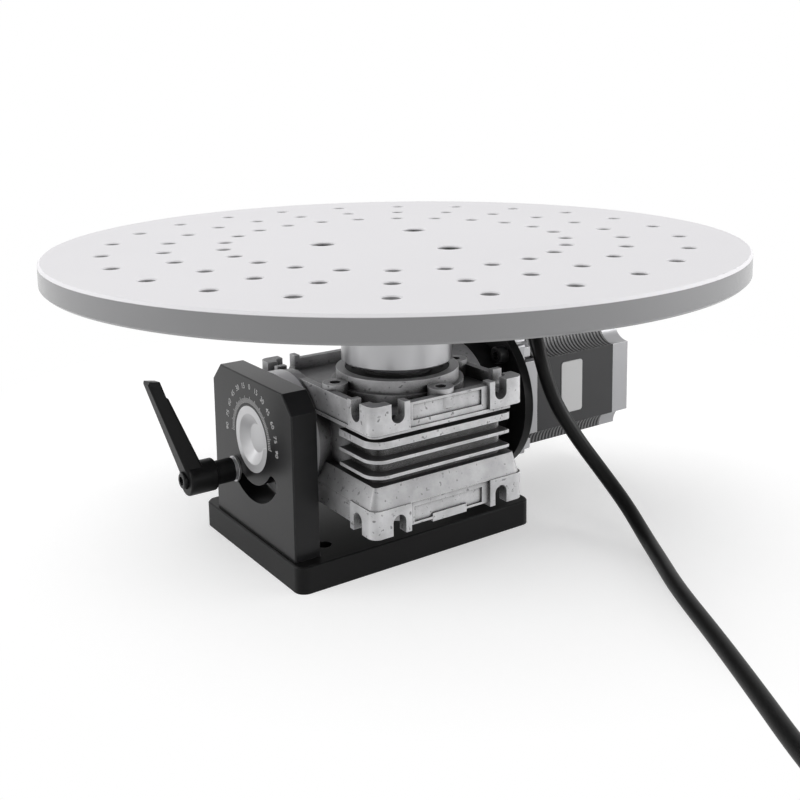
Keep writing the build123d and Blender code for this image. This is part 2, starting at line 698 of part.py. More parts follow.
def gear_housing():
    body = slab(WAIST_SET_IN, HOUSING_Z0 + 1, HOUSING_Z1 - RIM_SET_DOWN, WAIST_CORNER_R)
    body += rim(HOUSING_Z0, HOUSING_Z0 + RIM_H, HOUSING_Z0)
    body += rim(HOUSING_Z1 - RIM_H, HOUSING_Z1, HOUSING_Z1)
    ledge = slab(LEDGE_SET_IN, HOUSING_Z1 - RIM_H - LEDGE_T, HOUSING_Z1 - RIM_H)
    body += ledge & block(HOUSING_X0, FIN_END_X, -HOUSING_FRONT, HOUSING_REAR, HOUSING_Z0, HOUSING_Z1)
    skirt_z0 = HOUSING_Z0 + RIM_H - 0.1
    skirt = extrude(Pos(0, 0, skirt_z0) * plan(SKIRT_SET_IN), SKIRT_H, taper=SKIRT_ANGLE)
    body += skirt + fins()
    flat_side = rod_x(FLANGE_R - 0.5, HOUSING_X0, HOUSING_X0 + 10)
    body += flat_side & slab(0, HOUSING_Z0, HOUSING_Z1)
    body += rod_x(BOSS_R, HOUSING_X1 - 10, HOUSING_X1) & slab(0, HOUSING_Z0, HOUSING_Z1)
    for z0, z1 in ((HOUSING_Z0 - 1, POCKET_Z0), (POCKET_Z1, HOUSING_Z1 + 1)):
        body -= slab(HOUSING_WALL, z0, z1, POCKET_CORNER_R)
    body -= lug_slots(HOUSING_Z0, 1) + lug_slots(HOUSING_Z1, -1)
    body += rim_tab() + output_side()
    body += rod_x(BOSS_R, HOUSING_X1, BOSS_X)
    return body - gear_cavities()


# The lower cover that lets the wheel into the housing

def cover_screw_places():
    return ring_places((COVER_SPIGOT_R + COVER_FLANGE_R) / 2, 4, 45.0)


def output_cover():
    z_spigot = HOUSING_Z0 - SPIGOT_PROUD
    cover = rod_z(COVER_FLANGE_R, POCKET_Z0 - COVER_FLANGE_T, POCKET_Z0)
    cover += rod_z(SPIGOT_R, z_spigot, POCKET_Z0)
    cover += rod_z(COVER_SPIGOT_R - RUN_FIT, POCKET_Z0, AXIS_Z - WHEEL_ROOM)
    cover -= rod_z(OUT_BEARING_R, z_spigot - 1, AXIS_Z - OUT_BEARING_FROM_MID)
    cover -= rod_z(SHAFT_R + SHAFT_ROOM, z_spigot, AXIS_Z)
    for x, y in cover_screw_places():
        cover -= rod_z(M5[0] + SCREW_FIT, 0, POCKET_Z0 + 1, x, y)
        cover -= rod_z(M5[1] + SCREW_FIT, 0, POCKET_Z0 - COVER_FLANGE_T, x, y)
    return cover


def cover_screws():
    screw = Rot(180, 0, 0) * socket_screw(low_head(M5), COVER_FLANGE_T + COVER_SCREW_DEPTH - 1)
    seat = POCKET_Z0 - COVER_FLANGE_T
    return group([Pos(x, y, seat) * screw for x, y in cover_screw_places()])


# The tilting bracket: base plate, upright and pivot flange

def base_hole_places():
    half_x, half_y = BASE_HOLE_X / 2, BASE_HOLE_Y / 2
    return [(BASE_MID_X + i * half_x, BASE_MID_Y + j * half_y) for i in (-1, 1) for j in (-1, 1)]


def upright_screw_places():
    return [(UPRIGHT_MID_X, AXIS_Y + UPRIGHT_W / 3 * i) for i in (-1, 0, 1)]


def dowel_places():
    return [(UPRIGHT_MID_X, AXIS_Y + UPRIGHT_W / 6 * i) for i in (-1, 1)]


def base_plate():
    plate = extrude(RectangleRounded(BASE_LENGTH, BASE_W, BASE_CORNER_R), BASE_T)
    plate = Pos(BASE_MID_X, BASE_MID_Y, 0) * plate
    plate = chamfer(plate.edges().group_by(Axis.Z)[-1], BASE_EDGE)
    for x, y in base_hole_places():
        plate -= rod_z(BASE_HOLE_R, -1, BASE_T + 1, x, y)
    for x, y in upright_screw_places():
        plate -= rod_z(M6[0] + SCREW_FIT, -1, BASE_T + 1, x, y)
        plate -= rod_z(M6[1] + HEAD_FIT, -1, M6[2] + BASE_SCREW_SUNK, x, y)
    for x, y in dowel_places():
        plate -= rod_z(DOWEL_R, BASE_T - DOWEL_LENGTH / 2, BASE_T + 1, x, y)
    return plate


def upright():
    y0, y1 = AXIS_Y - UPRIGHT_W / 2, AXIS_Y + UPRIGHT_W / 2
    cut = UPRIGHT_CHAMFER
    outline = [(y0, BASE_T), (y1, BASE_T), (y1, UPRIGHT_TOP - cut), (y1 - cut, UPRIGHT_TOP),
               (y0 + cut, UPRIGHT_TOP), (y0, UPRIGHT_TOP - cut)]
    face = Plane.YZ.offset(UPRIGHT_X0) * make_face(Polyline(*outline, close=True))
    plate = extrude(face, UPRIGHT_T)
    outer_edges = plate.edges().group_by(Axis.X)[0].filter_by(lambda e: e.center().Z > BASE_T + 1)
    plate = chamfer(outer_edges, UPRIGHT_EDGE)
    plate -= rod_x(JOURNAL_R + RUN_FIT, UPRIGHT_X0 - 1, UPRIGHT_X1 + 1)
    plate -= arc_slot()
    for x, y in upright_screw_places():
        plate -= rod_z(M6[0], BASE_T - 1, BASE_T + UPRIGHT_SCREW_DEPTH, x, y)
    for x, y in dowel_places():
        plate -= rod_z(DOWEL_R, BASE_T - 1, BASE_T + DOWEL_LENGTH / 2 + 0.5, x, y)
    return plate


def arc_slot():
    """Slot for the clamp stud: it lets the head tilt by its whole range."""
    travel = TILT_RANGE + 2 * SLOT_SPARE_ANGLE
    start = STUD_ANGLE - SLOT_SPARE_ANGLE
    inner, outer = STUD_RADIUS - SLOT_W / 2, STUD_RADIUS + SLOT_W / 2

    def at(radius, angle):
        return (AXIS_Y - radius * cos(radians(angle)), AXIS_Z + radius * sin(radians(angle)))

    middle, end = start + travel / 2, start + travel
    ends = SLOT_W / 2
    beyond = degrees(ends / STUD_RADIUS)
    lines = ThreePointArc(at(inner, start), at(inner, middle), at(inner, end))
    lines += ThreePointArc(at(inner, end), at(STUD_RADIUS, end + beyond), at(outer, end))
    lines += ThreePointArc(at(outer, end), at(outer, middle), at(outer, start))
    lines += ThreePointArc(at(outer, start), at(STUD_RADIUS, start - beyond), at(inner, start))
    return extrude(Plane.YZ.offset(UPRIGHT_X0 - 1) * make_face(lines), UPRIGHT_T + 2)


def upright_screws():
    head_z = M6[2] + BASE_SCREW_SUNK
    screw = Rot(180, 0, 0) * socket_screw(M6, BASE_T + UPRIGHT_SCREW_DEPTH - head_z - 1)
    return group([Pos(x, y, head_z) * screw for x, y in upright_screw_places()])


def dowel_pins():
    z0, z1 = BASE_T - DOWEL_LENGTH / 2 + 0.2, BASE_T + DOWEL_LENGTH / 2
    return group([rod_z(DOWEL_R - RUN_FIT, z0, z1, x, y) for x, y in dowel_places()])


def pivot_screw_places():
    return [(AXIS_Y + y, AXIS_Z + z) for y, z in ring_places(PIVOT_SCREW_R, 4, 0.0)]


def pivot_flange():
    """Disc on the gearbox with the journal that turns in the upright, dished and notched."""
    disc = rod_x(FLANGE_R, JOURNAL_X0, HOUSING_X0)
    part = disc + rod_x(JOURNAL_R, UPRIGHT_X0, JOURNAL_X0)
    part += rod_x(END_BEARING_R - RUN_FIT, HOUSING_X0, END_BEARING_X - 0.2)
    dish = Pos(UPRIGHT_X0 + DISH_DEPTH / 2, AXIS_Y, AXIS_Z) * Rot(0, 90, 0)
    part -= dish * Cone(DISH_R, DISH_FLAT_R, DISH_DEPTH)
    tip = (AXIS_Y - JOURNAL_R + NOTCH_FROM_RIM, AXIS_Z)
    y_wide = AXIS_Y - NOTCH_TO_AXIS
    ends = [(y_wide, AXIS_Z + NOTCH_H / 2), (y_wide, AXIS_Z - NOTCH_H / 2)]
    notch = make_face(Polyline(tip, *ends, close=True))
    part -= extrude(Plane.YZ.offset(UPRIGHT_X0 - 1) * notch, 1 + NOTCH_DEPTH)
    part -= rod_x(STUD_R, JOURNAL_X0 - 1, HOUSING_X0 + 1, STUD_Y, STUD_Z)
    for y, z in pivot_screw_places():
        part -= rod_x(M4[0] + SCREW_FIT, JOURNAL_X0 - 1, HOUSING_X0 + 1, y, z)
        part -= rod_x(M4[1] + SCREW_FIT, JOURNAL_X0 - 1, JOURNAL_X0 + M4[2] + HEAD_FIT, y, z)
    return part


def pivot_screws():
    seat = JOURNAL_X0 + M4[2] + HEAD_FIT
    screw = Rot(0, -90, 0) * socket_screw(M4, HOUSING_X0 + PIVOT_SCREW_DEPTH - 1 - seat)
    return group([Pos(seat, y, z) * screw for y, z in pivot_screw_places()])


# The adjustable clamp lever

def clamp_washer():
    ring = rod_x(WASHER_R, WASHER_X1 - WASHER_T, WASHER_X1, STUD_Y, STUD_Z)
    return ring - rod_x(STUD_R + RUN_FIT, UPRIGHT_X0 - 9, UPRIGHT_X0 + 9, STUD_Y, STUD_Z)


def serrated(radius, x0, x1):
    face = Plane.YZ.offset(x0) * (Pos(STUD_Y, STUD_Z) * RegularPolygon(radius, SPLINE_SIDES))
    return extrude(face, x1 - x0)


def clamp_stud():
    stud = rod_x(STUD_R - RUN_FIT, INSERT_X0, HOUSING_X0 - FACE_GAP, STUD_Y, STUD_Z)
    stud += serrated(SPLINE_R, INSERT_X0, LEVER_X1 - INSERT_BASE)
    stud += rod_x(LEVER_NECK_R - HEAD_FIT, LEVER_X1 - INSERT_BASE, LEVER_X1, STUD_Y, STUD_Z)
    return stud - rod_x(CLAMP_SCREW_R, INSERT_X0 - 1, INSERT_X0 + CLAMP_SCREW_DEPTH, STUD_Y, STUD_Z)


def lever_hub():
    """The lever's barrel along X, and its thinner neck towards the bracket."""
    x0, x1 = -LEVER_HUB_LENGTH, -INSERT_BASE - CLAMP_PLAY
    neck = along_x(LEVER_NECK_R, -LEVER_NECK_LENGTH - 1, x1)
    barrel = along_x(LEVER_HUB_R, x0, -LEVER_NECK_LENGTH)
    return neck + fillet(barrel.edges().filter_by(GeomType.CIRCLE), 1.0)


def along_x(radius, x0, x1):
    return rod_x(radius, x0, x1, 0, 0)


def lever_arm():
    """The arm, straight up from the hub: its side view raked outwards, cut to its tapered front view."""
    x0 = -LEVER_HUB_LENGTH
    top, beak = LEVER_ARM, LEVER_ARM - LEVER_BEAK_H

    def raked(offset, z):
        return (x0 + offset - tan(radians(LEVER_RAKE_ANGLE)) * z, z)

    side = [raked(LEVER_ROOT_T, 0), raked(0.2, 0), raked(-0.26, top - 1.5), raked(0.8, top),
            raked(LEVER_TIP_T + 0.36, top - 0.8), raked(LEVER_TIP_T + 0.2, beak),
            raked(LEVER_TIP_T + 1.2, beak - 1)]
    seen_from_side = extrude(Plane.XZ * make_face(Polyline(*side, close=True)), LEVER_ARM_W, both=True)
    half, tip = LEVER_ARM_W / 2, LEVER_TIP_W / 2
    front = [(-half, 0), (half, 0), (tip, top), (-tip, top)]
    reach = LEVER_HUB_LENGTH + LEVER_ARM
    seen_from_front = extrude(Plane.YZ * make_face(Polyline(*front, close=True)), reach, both=True)
    arm = seen_from_side & seen_from_front
    return fillet(arm.edges().filter_by(lambda e: e.length > LEVER_ARM * 0.6), 1.2)


def clamp_lever():
    lever = Pos(LEVER_X1, STUD_Y, STUD_Z) * Rot(-LEVER_LEAN_ANGLE, 0, 0) * (lever_hub() + lever_arm())
    lever -= serrated(SPLINE_R + SPLINE_FIT, INSERT_X0 - SHOULDER_ROOM, LEVER_X1)
    lever -= rod_x(CLAMP_SCREW_R + HEAD_FIT, SHOULDER_X0 - 1, LEVER_X1, STUD_Y, STUD_Z)
    outer_x = LEVER_X1 - LEVER_HUB_LENGTH - 1
    return lever - rod_x(CLAMP_HEAD_R + HEAD_FIT, outer_x, SHOULDER_X0, STUD_Y, STUD_Z)


def clamp_screw():
    """The screw that holds the lever on its serrations against the spring."""
    seat = CLAMP_HEAD_X0 + CLAMP_HEAD_H
    reach = INSERT_X0 + CLAMP_SCREW_DEPTH - 0.5 - seat
    size = (CLAMP_SCREW_R, CLAMP_HEAD_R, CLAMP_HEAD_H, CLAMP_KEY_W)
    return Pos(seat, STUD_Y, STUD_Z) * Rot(0, -90, 0) * socket_screw(size, reach)


def clamp_spring():
    start = CLAMP_HEAD_X0 + CLAMP_HEAD_H + SPRING_WIRE_R + SCREW_FIT
    length = SHOULDER_X0 - SPRING_WIRE_R - SCREW_FIT - start
    coil_r = (CLAMP_SCREW_R + CLAMP_HEAD_R + HEAD_FIT) / 2
    path = Helix(pitch=length / SPRING_COIL_COUNT, height=length, radius=coil_r)
    section = RegularPolygon(SPRING_WIRE_R, 8)
    wire = sweep(Plane(origin=path @ 0, z_dir=path % 0) * section, path=path, is_frenet=True)
    return Pos(start, STUD_Y, STUD_Z) * Rot(0, 90, 0) * wire


# The input flange and the motor

def square_places(spacing):
    half = spacing / 2
    return [(AXIS_Y + i * half, AXIS_Z + j * half) for i in (-1, 1) for j in (-1, 1)]


def input_screw_places():
    return [(AXIS_Y + y, AXIS_Z + z) for y, z in ring_places(INPUT_SCREW_R, 4, 0.0)]


def input_flange():
    part = rod_x(BOSS_R, BOSS_X, IN_FLANGE_X + 1) + rod_x(IN_FLANGE_R, IN_FLANGE_X, MOTOR_X0)
    part -= rod_x(WORM_SLEEVE_R + 3, BOSS_X - 1, MOTOR_X0 + 1)
    part -= rod_x(PILOT_R + RUN_FIT, MOTOR_X0 - PILOT_T - FACE_GAP, MOTOR_X0 + 1)
    for y, z in input_screw_places():
        part -= rod_x(M4[0] + SCREW_FIT, BOSS_X - 1, MOTOR_X0 + 1, y, z)
        part -= rod_x(M4[1] + SCREW_FIT, INPUT_SEAT_X, MOTOR_X0 + 1, y, z)
    for y, z in square_places(MOTOR_BOLT_SPACING):
        part -= rod_x(M5[0] + SCREW_FIT, IN_FLANGE_X - 1, MOTOR_X0 + 1, y, z)
        part -= rod_x(M5[1] + SCREW_FIT, IN_FLANGE_X - M5[2] - 2, IN_FLANGE_X, y, z)
    return part


def input_flange_screws():
    screw = Rot(0, 90, 0) * socket_screw(M4, INPUT_SEAT_X - BOSS_X + INPUT_SCREW_DEPTH - 1)
    return group([Pos(INPUT_SEAT_X, y, z) * screw for y, z in input_screw_places()])


def motor_mount_screws():
    reach = IN_FLANGE_T + MOTOR_FLANGE_T + NUT_T + 1.5
    screw = Rot(0, -90, 0) * socket_screw(M5, reach)
    return group([Pos(IN_FLANGE_X, y, z) * screw for y, z in square_places(MOTOR_BOLT_SPACING)])


def motor_mount_nuts():
    face = RegularPolygon(NUT_FLATS / sqrt(3), 6) - Circle(M5[0])
    nut = Rot(0, 90, 0) * extrude(face, NUT_T)
    return group([Pos(BELL_X0, y, z) * nut for y, z in square_places(MOTOR_BOLT_SPACING)])


def motor_block(x0, x1, section):
    face = Plane.YZ.offset(x0) * (Pos(AXIS_Y, AXIS_Z) * section)
    return extrude(face, x1 - x0)


def square_section():
    return RectangleRounded(MOTOR_W, MOTOR_W, MOTOR_CORNER_R)


def scooped_section():
    """The motor's square with a round scoop out of each corner, for the mounting screws."""
    section = Rectangle(MOTOR_W, MOTOR_W)
    half = MOTOR_W / 2
    for y, z in [(i * half, j * half) for i in (-1, 1) for j in (-1, 1)]:
        section -= Pos(y, z) * Circle(SCOOP_R)
    return section


def motor_front_bell():
    bell = motor_block(MOTOR_X0, BELL_X0, square_section())
    bell += motor_block(BELL_X0, STACK_X0, scooped_section())
    bell += rod_x(PILOT_R, MOTOR_X0 - PILOT_T, MOTOR_X0)
    bell -= rod_x(MOTOR_SHAFT_R + 1.5, MOTOR_X0 - PILOT_T - 1, STACK_X0)
    bell -= rod_x(MOTOR_BEARING_R, FRONT_BEARING_X, STACK_X0 + 1)
    bell -= rod_x(WINDING_R + WINDING_CLEAR, STACK_X0 - WINDING_T - WINDING_CLEAR, STACK_X0 + 1)
    for y, z in square_places(MOTOR_BOLT_SPACING):
        bell -= rod_x(M5[0] + SCREW_FIT, MOTOR_X0 - 1, BELL_X0 + 1, y, z)
        bell -= rod_x(NUT_FLATS / sqrt(3) + FACE_GAP, BELL_X0, STACK_X0 + 1, y, z)
    for y, z in square_places(THROUGH_SPACING):
        bell -= rod_x(M3[0], BELL_X0, STACK_X0 + 1, y, z)
    return bell


def motor_stack():
    stack = motor_block(STACK_X0, REAR_X0, scooped_section())
    stack -= rod_x(ROTOR_R + AIR_GAP, STACK_X0 - 1, REAR_X0 + 1)
    for y, z in square_places(THROUGH_SPACING):
        stack -= rod_x(M3[0] + SCREW_FIT, STACK_X0 - 1, REAR_X0 + 1, y, z)
    return stack


def motor_rear_bell():
    bell = motor_block(REAR_X0, MOTOR_X1, scooped_section())
    bell -= rod_x(MOTOR_BEARING_R, REAR_X0 - 1, REAR_BEARING_X + MOTOR_BEARING_T)
    bell -= rod_x(WINDING_R + WINDING_CLEAR, REAR_X0 - 1, REAR_X0 + WINDING_T + WINDING_CLEAR)
    for y, z in square_places(THROUGH_SPACING):
        bell -= rod_x(M3[0] + SCREW_FIT, REAR_X0 - 1, MOTOR_X1 + 1, y, z)
        bell -= rod_x(M3[1] + SCREW_FIT, THROUGH_SEAT_X, MOTOR_X1 + 1, y, z)
    return bell


def motor_through_screws():
    screw = Rot(0, 90, 0) * socket_screw(M3, THROUGH_SEAT_X - BELL_X0 - 1)
    return group([Pos(THROUGH_SEAT_X, y, z) * screw for y, z in square_places(THROUGH_SPACING)])


def motor_windings():
    ring = rod_x(WINDING_R, 0, WINDING_T) - rod_x(WINDING_R - WINDING_W, -1, WINDING_T + 1)
    return group([Pos(STACK_X0 - WINDING_T, 0, 0) * ring, Pos(REAR_X0, 0, 0) * ring])


def motor_rotor():
    return rod_x(ROTOR_R, STACK_X0 + 1, REAR_X0 - 1) - rod_x(MOTOR_SHAFT_R + RUN_FIT / 2, 0, MOTOR_X1)


def motor_shaft():
    end_x = REAR_BEARING_X + MOTOR_BEARING_T - FACE_GAP
    return rod_x(MOTOR_SHAFT_R, MOTOR_X0 - MOTOR_SHAFT_REACH, end_x)


def motor_bearing_places():
    half = MOTOR_BEARING_T / 2
    return [Pos(x + half, AXIS_Y, AXIS_Z) * Rot(0, 90, 0) for x in (FRONT_BEARING_X, REAR_BEARING_X)]


def motor_bearing_outers():
    ring = bearing_outer(MOTOR_BEARING_R, MOTOR_SHAFT_R, MOTOR_BEARING_T)
    return group([place * ring for place in motor_bearing_places()])


def motor_bearing_inners():
    ring = bearing_inner(MOTOR_BEARING_R, MOTOR_SHAFT_R, MOTOR_BEARING_T)
    return group([place * ring for place in motor_bearing_places()])


def motor_label():
    """Blank rating plate on the motor's front face."""
    sheet = RectangleRounded(LABEL_W, LABEL_H, 1.5)
    plate = extrude(Pos(LABEL_X + LABEL_W / 2, AXIS_Z + LABEL_ABOVE_AXIS) * sheet, LABEL_T)
    return Pos(0, MOTOR_Y0, 0) * Rot(90, 0, 0) * plate


# The motor cord, its coil, its connector and its entry. The tube's runs are tangent to its arcs.

def mid_point(a, b):
    return tuple((p + q) / 2 for p, q in zip(a, b))


def arc_radii(points):
    """Each corner's arc: 0.45 of its shorter run, over the tangent of half its turn."""
    radii = []
    for a, b, c in zip(points, points[1:], points[2:]):
        before, after = Vector(*b) - Vector(*a), Vector(*c) - Vector(*b)
        turn = radians(before.get_angle(after))
        radii.append(0.45 * min(before.length, after.length) / tan(turn / 2))
    return radii


def cord_tube(points, radii, name):
    path = FilletPolyline(*points, radius=radii)
    tube = sweep(Plane(origin=path @ 0, z_dir=path % 0) * Circle(CORD_D / 2), path=path)
    wanted = pi * CORD_D ** 2 / 4 * path.length
    listed = ", ".join(f"{r:.0f}" for r in radii)
    print(f"{name}: length {path.length:.1f}, radii {listed}, volume ratio {tube.volume / wanted:.5f}")
    return tube


def cord_split():
    """Middle of the run where the part that tilts with the motor meets the part that stays."""
    return mid_point(CORD_ROUTE[TILTING_CORNER_COUNT], CORD_ROUTE[TILTING_CORNER_COUNT + 1])


def motor_cord():
    points = CORD_ROUTE[: TILTING_CORNER_COUNT + 1] + [cord_split()]
    return cord_tube(points, arc_radii(CORD_ROUTE)[:TILTING_CORNER_COUNT], "motor_cord")


def floor_cord():
    points = [cord_split()] + CORD_ROUTE[TILTING_CORNER_COUNT + 1:]
    return cord_tube(points, arc_radii(CORD_ROUTE)[TILTING_CORNER_COUNT:], "floor_cord")


def cord_coil():
    """Outer shape of the wound spare length: three turns wide, with two more on top."""
    half = COIL_TURNS_WIDE * CORD_D / 2
    low = FLOOR_LIFT
    step = low + CORD_D
    top = step + CORD_D * sqrt(3) / 2
    inner, outer = COIL_MID_R - half, COIL_MID_R + half
    outline = [(inner, low), (outer, low), (outer, step), (outer - CORD_D / 2, top),
               (inner + CORD_D / 2, top), (inner, step)]
    section = Plane.XZ * make_face(Polyline(*outline, close=True))
    return Pos(COIL_X, COIL_Y, 0) * revolve(section, Axis.Z)


def cord_plug():
    """Round multi-pin connector at the far end of the cord, lying on the bench."""
    nose = PLUG_LENGTH - PLUG_NOSE_LENGTH
    profile = [(0, 0), (PLUG_TAIL_R, 0), (PLUG_TAIL_R + 0.6, 10), (PLUG_NOSE_R + 0.2, 13), (PLUG_R, 13),
               (PLUG_R, nose), (PLUG_NOSE_R, nose), (PLUG_NOSE_R, PLUG_LENGTH), (0, PLUG_LENGTH)]
    body = revolve(Plane.XZ * make_face(Polyline(*profile, close=True)), Axis.Z)
    body -= Pos(0, 0, PLUG_LENGTH) * Cylinder(PLUG_SOCKET_R, 12)
    for y, z in ring_places(PIN_RING_R, PIN_COUNT, 90.0) + [(0.0, 0.0)]:
        body += Pos(y, z, PLUG_LENGTH - 6.5) * Cylinder(PIN_R, 8)
    outer_turn_y = COIL_Y - COIL_MID_R - (COIL_TURNS_WIDE - 1) * CORD_D / 2
    return Pos(COIL_X + PLUG_BACK, outer_turn_y, PLUG_R + FLOOR_LIFT) * Rot(0, 90, 0) * body


def cable_entry():
    """Small cover on the motor's top that the cord comes out of."""
    x, _, z = CORD_ROUTE[0]
    y_back = AXIS_Y + MOTOR_W / 2 - SCOOP_R
    cover = block(x - ENTRY_W / 2, x + ENTRY_W / 2, y_back - ENTRY_T, y_back, MOTOR_Z1, z + ENTRY_W / 2)
    return fillet(cover.edges().filter_by(Axis.Y).group_by(Axis.Z)[-1], ENTRY_CORNER_R)


def strain_relief():
    """Tapered sleeve between the cover and the bare cord."""
    x, y, z = CORD_ROUTE[0]
    length = AXIS_Y + MOTOR_W / 2 - SCOOP_R - ENTRY_T - y
    return Pos(x, y + length / 2, z) * Rot(90, 0, 0) * Cone(RELIEF_R, CORD_D / 2 + RELIEF_TIP_WALL, length)


NODES = (
    table_plate, table_screws, hub, shaft_key, retaining_washer, retaining_screw,
    output_shaft, worm_wheel, worm_shaft, output_bearing_outers, output_bearing_inners,
    worm_bearing_outers, worm_bearing_inners, oil_seals, gear_housing, output_cover, cover_screws,
    base_plate, upright, upright_screws, dowel_pins, pivot_flange, pivot_screws,
    clamp_washer, clamp_stud, clamp_lever, clamp_screw, clamp_spring,
    input_flange, input_flange_screws, motor_mount_screws, motor_mount_nuts,
    motor_front_bell, motor_stack, motor_rear_bell, motor_through_screws, motor_windings,
    motor_rotor, motor_shaft, motor_bearing_outers, motor_bearing_inners, motor_label,
    cable_entry, strain_relief, motor_cord, floor_cord, cord_coil, cord_plug,
)

os.makedirs("parts", exist_ok=True)
for make in NODES:
    save(make(), make.__name__)
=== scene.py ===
import json
import math

import bmesh
import bpy
from mathutils import Matrix, Vector


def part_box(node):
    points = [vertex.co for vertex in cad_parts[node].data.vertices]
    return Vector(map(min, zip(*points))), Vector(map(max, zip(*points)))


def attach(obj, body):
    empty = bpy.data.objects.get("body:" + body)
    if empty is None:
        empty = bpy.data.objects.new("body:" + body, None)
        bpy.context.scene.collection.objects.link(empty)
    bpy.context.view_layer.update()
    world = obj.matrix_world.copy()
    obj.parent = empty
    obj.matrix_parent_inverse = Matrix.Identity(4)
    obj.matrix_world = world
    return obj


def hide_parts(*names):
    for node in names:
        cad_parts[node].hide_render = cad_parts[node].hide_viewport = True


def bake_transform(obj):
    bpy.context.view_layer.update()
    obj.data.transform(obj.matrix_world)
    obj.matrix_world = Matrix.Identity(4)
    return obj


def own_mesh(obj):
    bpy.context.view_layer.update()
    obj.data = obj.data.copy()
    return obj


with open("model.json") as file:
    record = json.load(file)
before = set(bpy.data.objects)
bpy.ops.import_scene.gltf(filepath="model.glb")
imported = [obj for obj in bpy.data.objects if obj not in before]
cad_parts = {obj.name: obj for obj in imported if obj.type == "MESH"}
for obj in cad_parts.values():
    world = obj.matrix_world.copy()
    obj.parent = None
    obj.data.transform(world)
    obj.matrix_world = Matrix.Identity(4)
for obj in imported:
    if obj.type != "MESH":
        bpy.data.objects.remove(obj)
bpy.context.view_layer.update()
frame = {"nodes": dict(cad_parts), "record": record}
nodes = frame["nodes"]

MM = 0.001

# Places taken from the CAD nodes
JOURNAL_LOW, JOURNAL_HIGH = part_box("pivot_flange")
UPRIGHT_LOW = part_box("upright")[0]
TABLE_LOW, TABLE_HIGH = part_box("table_plate")
MOTOR_LOW, MOTOR_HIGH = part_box("motor_stack")
COIL_LOW, COIL_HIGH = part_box("cord_coil")
PLUG_LOW, PLUG_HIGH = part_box("cord_plug")
AXIS_Y = (JOURNAL_LOW.y + JOURNAL_HIGH.y) / 2
AXIS_Z = (JOURNAL_LOW.z + JOURNAL_HIGH.z) / 2

# The photograph's camera: place, turn, sensor, lens and shift
CAMERA_PLACE = (-0.26059, -0.38424, 0.21355)
CAMERA_YAW = math.radians(-34.397)
CAMERA_PITCH = math.radians(8.586)
CAMERA_ROLL = math.radians(0.887)
CAMERA_SENSOR = 36.0
CAMERA_LENS = 47.911
CAMERA_SHIFT = (0.00026, -0.2)

# The studio: the world's strength, the floor's size, tone, glow, middle and fade to white, and the
# lamps, each with its place, what it looks at, its size and its power
WORLD_LIGHT = 0.42
FLOOR_SIZE = 12.0
FLOOR_TONE = 0.75
FLOOR_GLOW = 0.37
FLOOR_MIDDLE = (0.12, 0.13, 0.0)
FLOOR_FADE = (0.17, 0.32)
LAMPS = {
    "overhead": ((-0.2, 0.2, 1.6), (0.0, 0.0, 0.1), 1.4, 9.5),
    "left": ((-1.3, 0.75, 0.32), (0.0, 0.0, 0.07), 1.3, 14.0),
    "right": ((1.24, -0.85, 0.3), (0.0, 0.0, 0.1), 1.0, 14.0),
    "front": ((0.15, -1.75, 0.32), (0.0, 0.0, 0.05), 1.0, 5.5),
}

# The motor's cord: its thickness, and in millimetres its height on the bench and its way down to it
CORD_D = 7.0 * MM
FLOOR_Z = 3.6
CORD_ROUTE = [
    (81.0, 26.5, 100.0),
    (81.0, 10.5, 100.0),
    (79.0, -3.3, 92.0),
    (76.0, -12.5, 76.0),
    (81.0, -15.5, 58.0),
    (89.8, -22.0, 40.0),
    (96.0, -33.0, 25.0),
    (96.8, -48.5, 13.0),
    (90.5, -66.5, 5.0),
    (80.5, -84.0, FLOOR_Z),
    (66.0, -106.5, FLOOR_Z),
    (47.5, -141.5, FLOOR_Z),
    (29.8, -173.0, FLOOR_Z),
    (15.0, -198.5, FLOOR_Z),
    (6.0, -216.5, FLOOR_Z),
    (3.4, -224.5, FLOOR_Z),
]

# The coil of the cord's spare length, in millimetres and degrees: the step between its points, where a
# turn moves on to the next radius, where the cord leaves, and the turns on the bench and on top of them
COIL_STEP = 20
COIL_WINDOW = (152, 212)
COIL_LEAVE = 270 + 4 * 360
COIL_BOTTOM_R = (52.5, 45.5, 38.5, 31.5)
COIL_TOP_R = (35.0, 42.0)
COIL_TOP_Z = 9.75
COIL_OVER_Z = 10.8

# How the cord rolls up over its last turn on the bench: its distance from that turn, and its angles
COIL_ROLL_R = 7.1
COIL_ROLL = (180, 60)

# The cord's way from the coil into the connector
LEAD_SHARE = 0.45
LEAD_ASIDE = 1.0
PLUG_AXIS_Z = 8.1
PLUG_BEFORE = 8.0
PLUG_INSIDE = 1.0

# The table's edge and drilling, and the number of sides of its round walls
TABLE_EDGE = 1.0 * MM
HOLE_R = 3.3 * MM
HOLE_EDGE = 0.5 * MM
HOLE_RINGS = (75.0 * MM, 100.0 * MM, 125.0 * MM)
HOLES_PER_RING = 24
HOLE_PHASE = math.radians(10.13)
SCREW_RING = 32.5 * MM
SCREW_COUNT = 3
SCREW_PHASE = HOLE_PHASE + 2 * math.tau / HOLES_PER_RING
SCREW_BORE_R = 5.4 * MM
SCREW_BORE_DEPTH = 6.8 * MM
SCREW_HOLE_R = 3.1 * MM
RIM_SIDES = 240
HOLE_SIDES = 24

# Where the finish of the table's rim, with its painted shade, fades in, outwards and downwards
TABLE_RIM_R = (TABLE_HIGH.x - 1.15 * MM, TABLE_HIGH.x - 1.05 * MM)
TABLE_RIM_Z = (TABLE_HIGH.z - 1.2 * MM, TABLE_HIGH.z - 1.0 * MM)

